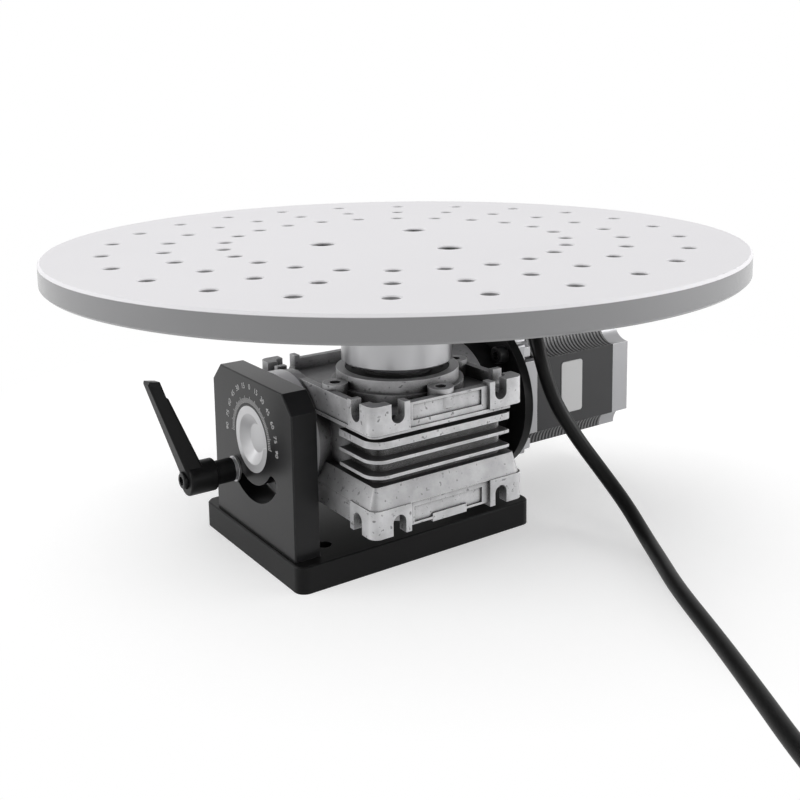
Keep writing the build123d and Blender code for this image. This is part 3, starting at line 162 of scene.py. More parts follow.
# The screws that a finer set replaces: body, material, head radius, head height, shank radius and
# key width in millimetres, and the side that the head looks to
SCREW_SETS = {
    "table_screws": ("table", "black_screw", (5.0, 6.0, 2.95, 5.0), (0, 0, 1)),
    "cover_screws": ("tilt_head", "steel_fastener", (4.25, 3.25, 2.45, 4.0), (0, 0, -1)),
    "upright_screws": ("base", "black_screw", (5.0, 6.0, 2.95, 5.0), (0, 0, -1)),
    "pivot_screws": ("tilt_head", "steel_fastener", (3.5, 4.0, 1.95, 3.0), (-1, 0, 0)),
    "motor_mount_screws": ("tilt_head", "black_screw", (4.25, 5.0, 2.45, 4.0), (-1, 0, 0)),
    "motor_through_screws": ("tilt_head", "steel_fastener", (2.75, 3.0, 1.45, 2.5), (1, 0, 0)),
    "clamp_screw": ("clamp", "black_screw", (3.7, 4.2, 1.95, 4.0), (-1, 0, 0)),
}

# Their broken edge, their sides, and the depth of the key's hole as a share of the head's height
SCREW_EDGE = 0.35 * MM
SCREW_SIDES = 24
KEY_SIDES = 6
KEY_DEPTH_SHARE = 0.55

# The tilt scale on the upright: its span and steps in degrees, the radii between which a line runs, those
# of the part that makes a numbered line longer, and its other measures
SCALE_SPAN = 180
LINE_STEP = 2.5
NUMBER_STEP = 15
LINE_R = (16.4 * MM, 18.6 * MM)
LONG_PART_R = (18.66 * MM, 19.6 * MM)
SCALE_LINE_W = 0.28 * MM
SCALE_PROUD = 0.06 * MM
SCALE_TEXT = 3.6 * MM
SCALE_NUMBER_R = 24.0 * MM

# The motor's laminations, which show in the scoops of its corners
MOTOR_HALF = (MOTOR_HIGH.z - MOTOR_LOW.z) / 2
MOTOR_CORNERS = 4
SCOOP_R = 9.7 * MM
SCOOP_START = math.radians(137)
SCOOP_SWEEP = math.radians(86)
SCOOP_POINTS = 10
RIB_PITCH = 2.3 * MM
RIB_W = 1.1 * MM
RIB_PROUD = 0.3 * MM
RIB_SUNK = 0.05 * MM

# The spring in the clamp lever
SPRING_WIRE_R = 0.4 * MM
SPRING_TURNS = 5
SPRING_STEPS = 24
SPRING_SIDES = 8

# Meshes: points that are taken as one, in a recipe and elsewhere, and the angle of a sharp edge
RECIPE_WELD = 0.005 * MM
WELD = 0.001 * MM
SHARP_ANGLE = math.radians(30)

# Finishes: how far the normal turns at a gentle curve and at a sharp edge, the pitch of turning marks,
# the highlights painted on edges, and the shade painted into deep holes and into hollows
GENTLE_BEND = 0.03
SHARP_BEND = 0.2
RING_PITCH = 0.5 * MM
SATIN_EDGE_HIGHLIGHT = (0.85, 0.85, 0.86)
TURNED_EDGE_HIGHLIGHT = (0.88, 0.88, 0.89)
CAST_EDGE_HIGHLIGHT = (0.8, 0.8, 0.81)
PAINTED_HOLE_SHADE = (0.015, 0.015, 0.016)
PAINTED_RECESS_SHADE = (0.022, 0.021, 0.021)

# The Mix node's sockets when it mixes colours: its factor, its two colours and its result
MIX_FACTOR = 0
MIX_DARK = 6
MIX_LIGHT = 7
MIX_RESULT = 2


# Helpers that more than one piece uses

def between(start, end, share):
    """The value a share of the way from one to another."""
    return start + (end - start) * share


def smooth_step(t):
    """A share that starts and ends gently, and stays from nought to one."""
    t = min(1.0, max(0.0, t))
    return t * t * (3 - 2 * t)


def finished_piece(name, mesh):
    """Turns a bmesh into an object that sits at the origin."""
    data = bpy.data.meshes.new(name)
    mesh.to_mesh(data)
    mesh.free()
    piece = bpy.data.objects.new(name, data)
    bpy.context.scene.collection.objects.link(piece)
    return piece


def round_tube(name, line, radius, sides=20):
    """A closed round tube along a line, with a UV map that runs along it and round it."""
    mesh = bmesh.new()
    uv = mesh.loops.layers.uv.new("jacket")
    tangent = (line[1] - line[0]).normalized()
    across = tangent.orthogonal().normalized()
    turns = [2 * math.pi * k / sides for k in range(sides)]
    rings, along = [], []
    travelled = 0.0
    for i, point in enumerate(line):
        before, after = line[max(i - 1, 0)], line[min(i + 1, len(line) - 1)]
        ahead = (after - before).normalized()
        across = (across - ahead * across.dot(ahead)).normalized()
        other = ahead.cross(across)
        travelled += (point - before).length
        rings.append([mesh.verts.new(point + radius * (math.cos(t) * across + math.sin(t) * other))
                      for t in turns])
        along.append(travelled)
    for i in range(len(rings) - 1):
        for k in range(sides):
            corners = [(i, k), (i, k + 1), (i + 1, k + 1), (i + 1, k)]
            face = mesh.faces.new([rings[a][b % sides] for a, b in corners])
            face.smooth = True
            for loop, (a, b) in zip(face.loops, corners):
                loop[uv].uv = (along[a], b / sides)
    mesh.faces.new(reversed(rings[0]))
    mesh.faces.new(rings[-1])
    return finished_piece(name, mesh)


# The materials, and the nodes that they are made of

class Finish:
    """A material whose nodes are added one by one."""

    def __init__(self, name, colour, metallic, roughness, **sockets):
        self.material = bpy.data.materials.new(name)
        self.material.use_nodes = True
        self.tree = self.material.node_tree
        self.shader = self.tree.nodes["Principled BSDF"]
        self.shader.inputs["Base Color"].default_value = (*colour, 1.0)
        self.shader.inputs["Metallic"].default_value = metallic
        self.shader.inputs["Roughness"].default_value = roughness
        for socket, value in sockets.items():
            self.shader.inputs[socket.replace("_", " ")].default_value = value
        self.place = self.add("ShaderNodeTexCoord").outputs["Object"]

    def add(self, kind, **settings):
        node = self.tree.nodes.new(kind)
        for setting, value in settings.items():
            setattr(node, setting, value)
        return node

    def join(self, source, target):
        self.tree.links.new(source, target)

    def stretched(self, scale, shift=(0.0, 0.0, 0.0)):
        """The place on the piece, scaled and then shifted."""
        mapping = self.add("ShaderNodeMapping")
        mapping.inputs["Scale"].default_value = scale
        mapping.inputs["Location"].default_value = shift
        self.join(self.place, mapping.inputs["Vector"])
        return mapping.outputs["Vector"]

    def noise(self, scale, detail=3.0, roughness=0.5, place=None):
        """Random mottling round a half, with so many grains to the metre."""
        node = self.add("ShaderNodeTexNoise")
        node.inputs["Scale"].default_value = scale
        node.inputs["Detail"].default_value = detail
        node.inputs["Roughness"].default_value = roughness
        self.join(place or self.place, node.inputs["Vector"])
        return node.outputs["Fac"]

    def range(self, value, low, high, from_low=0.0, from_high=1.0):
        """A value carried from one range to another, and held at both ends."""
        node = self.add("ShaderNodeMapRange")
        node.inputs["From Min"].default_value = from_low
        node.inputs["From Max"].default_value = from_high
        node.inputs["To Min"].default_value = low
        node.inputs["To Max"].default_value = high
        self.join(value, node.inputs["Value"])
        return node.outputs["Result"]

    def mix_colour(self, factor, dark, light):
        """From one colour to the other as the factor goes from nought to one."""
        node = self.add("ShaderNodeMix", data_type="RGBA")
        for index, colour in ((MIX_DARK, dark), (MIX_LIGHT, light)):
            if isinstance(colour, bpy.types.NodeSocket):
                self.join(colour, node.inputs[index])
            else:
                node.inputs[index].default_value = (*colour, 1.0)
        self.join(factor, node.inputs[MIX_FACTOR])
        return node.outputs[MIX_RESULT]

    def colour(self, socket):
        self.join(socket, self.shader.inputs["Base Color"])

    def rough(self, socket):
        self.join(socket, self.shader.inputs["Roughness"])

    def bump(self, height, strength, distance, below):
        """Fine relief on top of another normal."""
        node = self.add("ShaderNodeBump")
        node.inputs["Strength"].default_value = strength
        node.inputs["Distance"].default_value = distance
        self.join(height, node.inputs["Height"])
        self.join(below, node.inputs["Normal"])
        self.join(node.outputs["Normal"], self.shader.inputs["Normal"])

    def edges(self, radius):
        """One along sharp edges, and nought on flats and gentle curves."""
        rounded = self.add("ShaderNodeBevel", samples=6)
        rounded.inputs["Radius"].default_value = radius
        turn = self.add("ShaderNodeVectorMath", operation="DOT_PRODUCT")
        self.join(rounded.outputs["Normal"], turn.inputs[0])
        self.join(self.add("ShaderNodeNewGeometry").outputs["Normal"], turn.inputs[1])
        return self.range(turn.outputs["Value"], 1.0, 0.0, 1 - SHARP_BEND, 1 - GENTLE_BEND)

    def hollows(self, reach, deep, open_part):
        """One deep in the piece's own hollows, and nought on its open faces: where shade is painted."""
        sky = self.add("ShaderNodeAmbientOcclusion", samples=6, only_local=True)
        sky.inputs["Distance"].default_value = reach
        return self.range(sky.outputs["AO"], 1.0, 0.0, deep, open_part)

    def product(self, one, other):
        node = self.add("ShaderNodeMath", operation="MULTIPLY")
        self.join(one, node.inputs[0])
        self.join(other, node.inputs[1])
        return node.outputs["Value"]

    def upright_part(self, vector):
        """The Z share of a vector."""
        split = self.add("ShaderNodeSeparateXYZ")
        self.join(vector, split.inputs[0])
        return split.outputs["Z"]

    def height(self):
        """Height above the bench, with the object at rest."""
        return self.upright_part(self.place)

    def from_axis(self, axis, centre=(0.0, 0.0, 0.0)):
        """Distance from an axis through a place, such as the one the piece is turned on."""
        flat = tuple(0.0 if i == "XYZ".index(axis) else 1.0 for i in range(3))
        shift = tuple(-c * f for c, f in zip(centre, flat))
        length = self.add("ShaderNodeVectorMath", operation="LENGTH")
        self.join(self.stretched(flat, shift=shift), length.inputs[0])
        return length.outputs["Value"]

    def soft_edges(self, radius):
        """A normal that rounds each edge off by a radius."""
        node = self.add("ShaderNodeBevel", samples=4)
        node.inputs["Radius"].default_value = radius
        return node.outputs["Normal"]


def shaded(colour, share):
    """A colour made darker, or lighter where the share is over one."""
    return tuple(c * share for c in colour)


def satin_metal(name, colour, roughness):
    """Fine satin metal: its gloss and tone vary a little from place to place."""
    finish = Finish(name, colour, metallic=0.85, roughness=roughness)
    fine = finish.noise(900.0, detail=2.0)
    tone = finish.mix_colour(finish.noise(60.0), shaded(colour, 0.92), colour)
    # Highlights painted along the sharp edges
    finish.colour(finish.mix_colour(finish.edges(0.25 * MM), tone, SATIN_EDGE_HIGHLIGHT))
    finish.rough(finish.range(fine, roughness - 0.05, roughness + 0.05))
    finish.bump(fine, strength=0.15, distance=0.02 * MM, below=finish.soft_edges(0.3 * MM))
    return finish.material


def turned_metal(name, colour, roughness, axis, centre=(0.0, 0.0, 0.0), metallic=0.9):
    """Metal turned on a lathe: fine rings round an axis, and highlights painted on its edges."""
    finish = Finish(name, colour, metallic, roughness)
    radius = finish.from_axis(axis, centre)
    wave = finish.add("ShaderNodeMath", operation="SINE")
    finish.join(finish.range(radius, 0.0, 2 * math.pi / RING_PITCH), wave.inputs[0])
    rings = wave.outputs["Value"]
    tone = finish.mix_colour(finish.noise(45.0), shaded(colour, 0.88), colour)
    # Highlights painted along the sharp edges
    finish.colour(finish.mix_colour(finish.edges(0.25 * MM), tone, TURNED_EDGE_HIGHLIGHT))
    finish.rough(finish.range(rings, roughness - 0.04, roughness + 0.04, from_low=-1.0))
    finish.bump(rings, strength=0.12, distance=0.01 * MM, below=finish.soft_edges(0.3 * MM))
    return finish.material


def table_metal(name, top, rim):
    """The milled table: pale satin faces, a turned rim painted darker with shade, shade painted into its
    bores and highlights painted on its broken edges.
    """
    finish = Finish(name, top, metallic=0.0, roughness=0.42)
    fine = finish.noise(1200.0, detail=2.0, place=finish.stretched((1.0, 1.0, 0.1)))
    tone = finish.mix_colour(finish.noise(7.0, detail=2.0), shaded(top, 0.95), top)
    outside = finish.range(finish.from_axis("Z"), 0.0, 1.0, *TABLE_RIM_R)
    below = finish.range(finish.height(), 1.0, 0.0, *TABLE_RIM_Z)
    at_rim = finish.product(outside, below)
    # Highlights painted along the broken edges
    tone = finish.mix_colour(finish.edges(0.3 * MM), tone, SATIN_EDGE_HIGHLIGHT)
    # Shade painted on the rim: its colour is darker than the top's
    tone = finish.mix_colour(at_rim, tone, rim)
    # Shade painted into the holes and bores
    drilled = finish.hollows(6.0 * MM, deep=0.6, open_part=0.85)
    finish.colour(finish.mix_colour(drilled, tone, PAINTED_HOLE_SHADE))
    finish.join(finish.range(at_rim, 0.25, 0.5), finish.shader.inputs["Specular IOR Level"])
    finish.rough(finish.range(at_rim, 0.65, 0.22))
    finish.bump(fine, strength=0.08, distance=0.02 * MM, below=finish.soft_edges(0.3 * MM))
    return finish.material


def cast_metal(name, colour):
    """Shot-blasted casting: pitted, with shade painted into its hollows and onto its upward faces, and
    highlights painted on its edges.
    """
    finish = Finish(name, colour, metallic=0.2, roughness=0.42)
    grain = finish.noise(620.0, detail=5.0, roughness=0.65)
    cloud = finish.noise(120.0, detail=4.0, roughness=0.6)
    cloud = finish.range(cloud, 0.0, 1.0, from_low=0.35, from_high=0.65)
    tone = finish.mix_colour(cloud, shaded(colour, 0.72), colour)
    pits = finish.range(finish.noise(480.0, detail=2.0), 0.0, 0.75, from_low=0.63, from_high=0.69)
    tone = finish.mix_colour(pits, tone, shaded(colour, 0.2))
    # Shade painted on faces that look upwards, darker the more they do
    facing = finish.add("ShaderNodeNewGeometry").outputs["Normal"]
    top_shade = finish.range(finish.upright_part(facing), 0.0, 0.7, from_low=0.05, from_high=0.45)
    tone = finish.mix_colour(top_shade, tone, shaded(colour, 0.16))
    # Highlights painted along the sharp edges
    tone = finish.mix_colour(finish.edges(0.45 * MM), tone, CAST_EDGE_HIGHLIGHT)
    # Shade painted into the casting's hollows
    recess_shade = finish.hollows(12.0 * MM, deep=0.5, open_part=0.89)
    finish.colour(finish.mix_colour(recess_shade, tone, PAINTED_RECESS_SHADE))
    finish.rough(finish.range(grain, 0.32, 0.5))
    finish.bump(grain, strength=0.45, distance=0.12 * MM, below=finish.soft_edges(0.35 * MM))
    return finish.material


def anodised(name, colour, roughness, worn=0.16, specular=0.32):
    """Black anodised metal: satin, and a little worn along its edges."""
    finish = Finish(name, colour, metallic=0.0, roughness=roughness, Specular_IOR_Level=specular)
    fine = finish.noise(1500.0, detail=2.0)
    tone = finish.mix_colour(finish.noise(40.0), colour, shaded(colour, 1.5))
    wear = finish.range(finish.noise(160.0), 0.15, 1.0, from_low=0.4, from_high=0.6)
    edge = finish.product(finish.edges(0.22 * MM), wear)
    finish.colour(finish.mix_colour(edge, tone, (worn, worn, worn)))
    finish.rough(finish.range(fine, roughness - 0.05, roughness + 0.05))
    finish.bump(fine, strength=0.2, distance=0.02 * MM, below=finish.soft_edges(0.35 * MM))
    return finish.material


def moulded_plastic(name, colour, roughness, specular=0.35):
    """Plastic or rubber from a mould, with a fine grain."""
    finish = Finish(name, colour, metallic=0.0, roughness=roughness, Specular_IOR_Level=specular)
    grain = finish.noise(1100.0, detail=2.0)
    finish.rough(finish.range(grain, roughness - 0.08, roughness + 0.08))
    finish.bump(grain, strength=0.3, distance=0.05 * MM, below=finish.soft_edges(0.3 * MM))
    return finish.material


# Each finish has its name and its colours, then its roughness where it isn't fixed, and what is its own
JOURNAL_CENTRE = (0.0, AXIS_Y, AXIS_Z)
MATERIALS = {
    # The rim's darker colour is painted shade
    "table_aluminium": table_metal("table_aluminium", top=(0.82, 0.81, 0.83), rim=(0.25, 0.25, 0.255)),
    "turned_steel": turned_metal("turned_steel", (0.44, 0.44, 0.45), 0.3, "Z"),
    "cast_aluminium": cast_metal("cast_aluminium", (0.6, 0.6, 0.61)),
    "machined_aluminium": satin_metal("machined_aluminium", (0.34, 0.34, 0.35), 0.35),
    "black_anodised": anodised("black_anodised", (0.006, 0.006, 0.0065), 0.3, specular=0.26),
    "black_plastic": moulded_plastic("black_plastic", (0.004, 0.004, 0.0042), 0.4, specular=0.14),
    "stack_black": anodised("stack_black", (0.02, 0.02, 0.021), 0.4, worn=0.3),
    "steel_fastener": satin_metal("steel_fastener", (0.42, 0.42, 0.43), 0.3),
    "black_screw": anodised("black_screw", (0.007, 0.007, 0.0072), 0.35, worn=0.2, specular=0.2),
    "hard_steel": satin_metal("hard_steel", (0.45, 0.45, 0.47), 0.25),
    "bearing_steel": satin_metal("bearing_steel", (0.55, 0.55, 0.57), 0.18),
    "wheel_bronze": satin_metal("wheel_bronze", (0.55, 0.36, 0.14), 0.3),
    "winding_copper": satin_metal("winding_copper", (0.5, 0.2, 0.09), 0.35),
    "seal_rubber": moulded_plastic("seal_rubber", (0.010, 0.010, 0.010), 0.6),
    "label_plate": moulded_plastic("label_plate", (0.50, 0.50, 0.50), 0.4),
    "cord_jacket": moulded_plastic("cord_jacket", (0.005, 0.005, 0.005), 0.4, specular=0.14),
}
FACED_ALUMINIUM = turned_metal("faced_aluminium", (0.62, 0.62, 0.63), 0.4, "X", JOURNAL_CENTRE, metallic=0.4)
RIB_STEEL = anodised("rib_steel", (0.12, 0.12, 0.122), 0.4)
# A darker, less glossy copy of black anodised, that paints shade on the base plate and the input flange
SHADED_BLACK_ANODISED = anodised("shaded_black_anodised", (0.004, 0.004, 0.0042), 0.42, worn=0.12, specular=0.14)
SCALE_PAINT = moulded_plastic("scale_paint", (0.6, 0.6, 0.6), 0.5)


def dress_cad_nodes():
    """Each CAD node takes the finish of its slot in the record."""
    slots = {part["node"]: part["material_slot"] for part in frame["record"]["subparts"]}
    for name, node in nodes.items():
        node.data.materials.clear()
        node.data.materials.append(MATERIALS[slots[name]])
    nodes["pivot_flange"].data.materials[0] = FACED_ALUMINIUM
    # The base plate and the input flange take the copy of black anodised that paints shade
    for name in ("base_plate", "input_flange"):
        nodes[name].data.materials[0] = SHADED_BLACK_ANODISED


# Geometry Nodes recipes for what repeats

class Recipe:
    """A Geometry Nodes tree with named sizes, built step by step and then made a plain mesh."""

    def __init__(self, name, sizes):
        self.name = name
        self.tree = bpy.data.node_groups.new(name, "GeometryNodeTree")
        sockets = self.tree.interface
        sockets.new_socket("Geometry", in_out="INPUT", socket_type="NodeSocketGeometry")
        sockets.new_socket("Geometry", in_out="OUTPUT", socket_type="NodeSocketGeometry")
        self.values = {}
        for label, value in sizes.items():
            kind = "NodeSocketInt" if isinstance(value, int) else "NodeSocketFloat"
            socket = sockets.new_socket(label, in_out="INPUT", socket_type=kind)
            self.values[socket.identifier] = value
        self.size = self.tree.nodes.new("NodeGroupInput").outputs
        self.end = self.tree.nodes.new("NodeGroupOutput")

    def step(self, kind, inputs=(), **settings):
        """Adds a node, links or sets its inputs, and gives its first output."""
        node = self.tree.nodes.new(kind)
        for setting, value in settings.items():
            setattr(node, setting, value)
        for label, value in dict(inputs).items():
            if isinstance(value, bpy.types.NodeSocket):
                self.tree.links.new(value, node.inputs[label])
            else:
                node.inputs[label].default_value = value
        return node.outputs[0]

    def join(self, *parts):
        node = self.tree.nodes.new("GeometryNodeJoinGeometry")
        for part in parts:
            self.tree.links.new(part, node.inputs[0])
        return node.outputs[0]

    def moved(self, part, x=0.0, y=0.0, z=0.0):
        shift = self.step("ShaderNodeCombineXYZ", {"X": x, "Y": y, "Z": z})
        return self.step("GeometryNodeTransform", {"Geometry": part, "Translation": shift})

    def flipped(self, part):
        return self.step("GeometryNodeFlipFaces", {"Mesh": part})

    def at_places(self, places, part, inputs=()):
        """Copies of a part, one at each point."""
        sockets = {"Points": places, "Instance": part, **dict(inputs)}
        part = self.step("GeometryNodeInstanceOnPoints", sockets)
        return self.step("GeometryNodeRealizeInstances", {"Geometry": part})

    def loop(self, radius, sides):
        """A round or many-sided line."""
        return self.step("GeometryNodeCurvePrimitiveCircle", {"Resolution": sides, "Radius": radius})

    def sheet(self, z, *loops):
        """A flat face at a height, that faces up, between an outline and the holes in it."""
        part = self.step("GeometryNodeFillCurve", {"Curve": self.join(*loops)}, mode="TRIANGLES")
        return self.moved(part, z=z)

    def band(self, low_r, high_r, height, sides, z):
        """A round wall or a cone's, without its ends, that faces outwards."""
        sizes = {"Vertices": sides, "Radius Bottom": low_r, "Radius Top": high_r, "Depth": height}
        return self.moved(self.step("GeometryNodeMeshCone", sizes, fill_type="NONE"), z=z)

    def drum(self, radius, height, sides, z):
        """A round wall of one radius, without its ends, that faces outwards."""
        return self.band(radius, radius, height, sides, z)

    def make(self, part, material, place=Matrix(), points=()):
        """Runs the recipe on some points, and gives a plain mesh whose sharp edges are marked."""
        part = self.step("GeometryNodeMergeByDistance", {"Geometry": part, "Distance": RECIPE_WELD})
        part = self.step("GeometryNodeRealizeInstances", {"Geometry": part})
        part = self.step("GeometryNodeSetMaterial", {"Geometry": part, "Material": material})
        self.tree.links.new(part, self.end.inputs[0])
        start = bpy.data.meshes.new(self.name)
        start.from_pydata([tuple(point) for point in points], [], [])
        piece = bpy.data.objects.new(self.name, start)
        bpy.context.scene.collection.objects.link(piece)
        modifier = piece.modifiers.new(self.name, "NODES")
        modifier.node_group = self.tree
        for identifier, value in self.values.items():
            modifier[identifier] = value
        evaluated = piece.evaluated_get(bpy.context.evaluated_depsgraph_get())
        mesh = bpy.data.meshes.new_from_object(evaluated)
        piece.modifiers.remove(modifier)
        piece.data = mesh
        mesh.transform(place)
        mesh.polygons.foreach_set("use_smooth", [True] * len(mesh.polygons))
        mesh.set_sharp_from_angle(angle=SHARP_ANGLE)
        return piece


def perforated_table():
    """The round table: three rings of holes with broken edges, and three counterbored holes."""
    low, top = TABLE_LOW.z, TABLE_HIGH.z
    sizes = {
        "plate radius": TABLE_HIGH.x, "face radius": TABLE_HIGH.x - TABLE_EDGE,
        "rim height": top - low - 2 * TABLE_EDGE, "edge": TABLE_EDGE,
        "hole radius": HOLE_R, "mouth radius": HOLE_R + HOLE_EDGE,
        "hole depth": top - low - 2 * HOLE_EDGE, "hole edge": HOLE_EDGE,
        "bore radius": SCREW_BORE_R, "bore mouth radius": SCREW_BORE_R + HOLE_EDGE,
        "bore depth": SCREW_BORE_DEPTH - HOLE_EDGE, "through radius": SCREW_HOLE_R,
        "through depth": top - low - SCREW_BORE_DEPTH,
        "inner ring": HOLE_RINGS[0], "middle ring": HOLE_RINGS[1], "outer ring": HOLE_RINGS[2],
        "screw ring": SCREW_RING, "holes": HOLES_PER_RING, "screws": SCREW_COUNT,
        "rim sides": RIM_SIDES, "hole sides": HOLE_SIDES,
    }
    recipe = Recipe("table_plate_drilled", sizes)
    size = recipe.size
    sides, around = size["hole sides"], size["rim sides"]
    seat, mouth = top - SCREW_BORE_DEPTH, top - HOLE_EDGE

    def ring(radius, count, turn):
        line = recipe.step("GeometryNodeMeshCircle", {"Vertices": count, "Radius": radius})
        return recipe.step("GeometryNodeTransform", {"Geometry": line, "Rotation": (0.0, 0.0, turn)})

    rings = [ring(size[name + " ring"], size["holes"], HOLE_PHASE) for name in ("inner", "middle", "outer")]
    places = recipe.join(*rings)
    screws = ring(size["screw ring"], size["screws"], SCREW_PHASE)
    wall = recipe.join(
        recipe.band(size["mouth radius"], size["hole radius"], size["hole edge"], sides, low),
        recipe.drum(size["hole radius"], size["hole depth"], sides, low + HOLE_EDGE),
        recipe.band(size["hole radius"], size["mouth radius"], size["hole edge"], sides, mouth))
    ledge = recipe.sheet(seat, recipe.loop(size["bore radius"], sides),
                         recipe.loop(size["through radius"], sides))
    bore = recipe.join(
        recipe.drum(size["through radius"], size["through depth"], sides, low),
        recipe.flipped(ledge),
        recipe.drum(size["bore radius"], size["bore depth"], sides, seat),
        recipe.band(size["bore radius"], size["bore mouth radius"], size["hole edge"], sides, mouth))
    walls = recipe.flipped(recipe.join(recipe.at_places(places, wall), recipe.at_places(screws, bore)))
    faces = []
    for z, screw_mouth in ((top, "bore mouth radius"), (low, "through radius")):
        outline = recipe.loop(size["face radius"], around)
        mouths = recipe.at_places(places, recipe.loop(size["mouth radius"], sides))
        screw_mouths = recipe.at_places(screws, recipe.loop(size[screw_mouth], sides))
        faces.append(recipe.sheet(z, outline, mouths, screw_mouths))
    rim = recipe.join(
        recipe.band(size["face radius"], size["plate radius"], size["edge"], around, low),
        recipe.drum(size["plate radius"], size["rim height"], around, low + TABLE_EDGE),
        recipe.band(size["plate radius"], size["face radius"], size["edge"], around, top - TABLE_EDGE))
    whole = recipe.join(faces[0], recipe.flipped(faces[1]), rim, walls)
    plate = recipe.make(whole, MATERIALS["table_aluminium"])
    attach(plate, "table")
    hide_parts("table_plate")


def socket_screw(name, sizes):
    """A socket head screw along Z, with its head's edge broken: its seat is at z 0."""
    recipe = Recipe(name, sizes)
    size = recipe.size
    sides, edge = size["sides"], size["edge"]
    head_z, tip_z = sizes["head height"], -sizes["shank length"]
    key_z = head_z - sizes["key depth"]
    key_line = recipe.loop(size["key radius"], KEY_SIDES)
    under = recipe.sheet(0.0, recipe.loop(size["head radius"], sides),
                         recipe.loop(size["shank radius"], sides))
    tip = recipe.sheet(tip_z, recipe.loop(size["tip radius"], sides))
    screw = recipe.join(
        recipe.sheet(head_z, recipe.loop(size["top radius"], sides), key_line),
        recipe.flipped(recipe.drum(size["key radius"], size["key depth"], KEY_SIDES, key_z)),
        recipe.sheet(key_z, key_line),
        recipe.band(size["head radius"], size["top radius"], edge, sides, head_z - SCREW_EDGE),
        recipe.drum(size["head radius"], size["barrel height"], sides, 0.0),
        recipe.flipped(under),
        recipe.drum(size["shank radius"], size["shank barrel"], sides, tip_z + SCREW_EDGE),
        recipe.band(size["tip radius"], size["shank radius"], edge, sides, tip_z),
        recipe.flipped(tip))
    return recipe, recipe.at_places(size["Geometry"], screw)


def islands(node):
    """Boxes round the separate solids of a CAD node, from a merged copy of its mesh."""
    mesh = bmesh.new()
    mesh.from_mesh(node.data)
    bmesh.ops.remove_doubles(mesh, verts=mesh.verts, dist=WELD)
    left, boxes = set(mesh.verts), []
    while left:
        heap, found = [left.pop()], []
        while heap:
            vertex = heap.pop()
            found.append(vertex.co.copy())
            for edge in vertex.link_edges:
                other = edge.other_vert(vertex)
                if other in left:
                    left.remove(other)
                    heap.append(other)
        boxes.append((Vector(map(min, zip(*found))), Vector(map(max, zip(*found)))))
    mesh.free()
    return sorted(boxes, key=lambda box: tuple(round(c, 5) for c in box[0]))


def screw_set(node, body, slot, head, towards):
    """Finer screws in the places of a CAD node's: head is its radius, height, shank radius and key."""
    head_r, head_h, shank_r, key = (value * MM for value in head)
    turn = Vector((0.0, 0.0, 1.0)).rotation_difference(Vector(towards)).to_matrix().to_4x4()
    back = turn.inverted()
    seats, lengths = [], []
    for low, high in islands(nodes[node]):
        middle = back @ ((low + high) / 2)
        spread = back @ (high - low)
        half = abs(spread.z) / 2
        seats.append(Vector((middle.x, middle.y, middle.z + half - head_h)))
        lengths.append(2 * half - head_h)
    length = min(lengths)
    sizes = {
        "head radius": head_r, "top radius": head_r - SCREW_EDGE, "edge": SCREW_EDGE,
        "head height": head_h, "barrel height": head_h - SCREW_EDGE,
        "key radius": key / math.sqrt(3), "key depth": head_h * KEY_DEPTH_SHARE,
        "shank radius": shank_r, "tip radius": shank_r - SCREW_EDGE,
        "shank length": length, "shank barrel": length - SCREW_EDGE, "sides": SCREW_SIDES,
    }
    recipe, part = socket_screw(node + "_fine", sizes)
    piece = recipe.make(part, MATERIALS[slot], turn, seats)
    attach(piece, body)
    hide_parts(node)


def lamination_ribs():
    """The motor's stack of steel sheets, which shows as fine ribs in the scoops of its corners."""
    length = MOTOR_HIGH.x - MOTOR_LOW.x
    count = int(length / RIB_PITCH)
    sizes = {"scoop radius": SCOOP_R - RIB_PROUD / 2 + RIB_SUNK, "rib proud": RIB_PROUD,
             "rib width": RIB_W, "ribs": count, "corner radius": MOTOR_HALF * math.sqrt(2)}
    recipe = Recipe("stack_laminations", sizes)
    size = recipe.size
    arc = recipe.step("GeometryNodeCurveArc", {
        "Resolution": SCOOP_POINTS, "Radius": size["scoop radius"],
        "Start Angle": SCOOP_START, "Sweep Angle": SCOOP_SWEEP}, mode="RADIUS")
    section = recipe.step("GeometryNodeCurvePrimitiveQuadrilateral",
                          {"Width": size["rib proud"], "Height": size["rib width"]})
    rib = recipe.step("GeometryNodeCurveToMesh",
                      {"Curve": arc, "Profile Curve": section, "Fill Caps": True})
    line = recipe.step("GeometryNodeMeshLine", {
        "Count": size["ribs"], "Start Location": (0.0, 0.0, (length - (count - 1) * RIB_PITCH) / 2),
        "Offset": (0.0, 0.0, RIB_PITCH)})
    stack = recipe.at_places(line, rib)
    corners = recipe.step("GeometryNodeMeshCircle",
                          {"Vertices": MOTOR_CORNERS, "Radius": size["corner radius"]})
    corners = recipe.step("GeometryNodeTransform",
                          {"Geometry": corners, "Rotation": (0.0, 0.0, math.pi / MOTOR_CORNERS)})
    outwards = recipe.step("FunctionNodeAlignRotationToVector",
                           {"Vector": recipe.step("GeometryNodeInputPosition")}, axis="X", pivot_axis="Z")
    ribs = recipe.at_places(corners, stack, {"Rotation": outwards})
    place = Matrix.Translation((MOTOR_LOW.x, AXIS_Y, AXIS_Z)) @ Matrix.Rotation(math.pi / 2, 4, "Y")
    piece = recipe.make(ribs, RIB_STEEL, place)
    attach(piece, "tilt_head")


# The tilt scale on the upright

def scale_place():
    """Turns a drawing in X and Y onto the upright's outer face, as seen from its own side."""
    return Matrix(((0.0, 0.0, -1.0, UPRIGHT_LOW.x), (-1.0, 0.0, 0.0, AXIS_Y),
                   (0.0, 1.0, 0.0, AXIS_Z), (0.0, 0.0, 0.0, 1.0)))


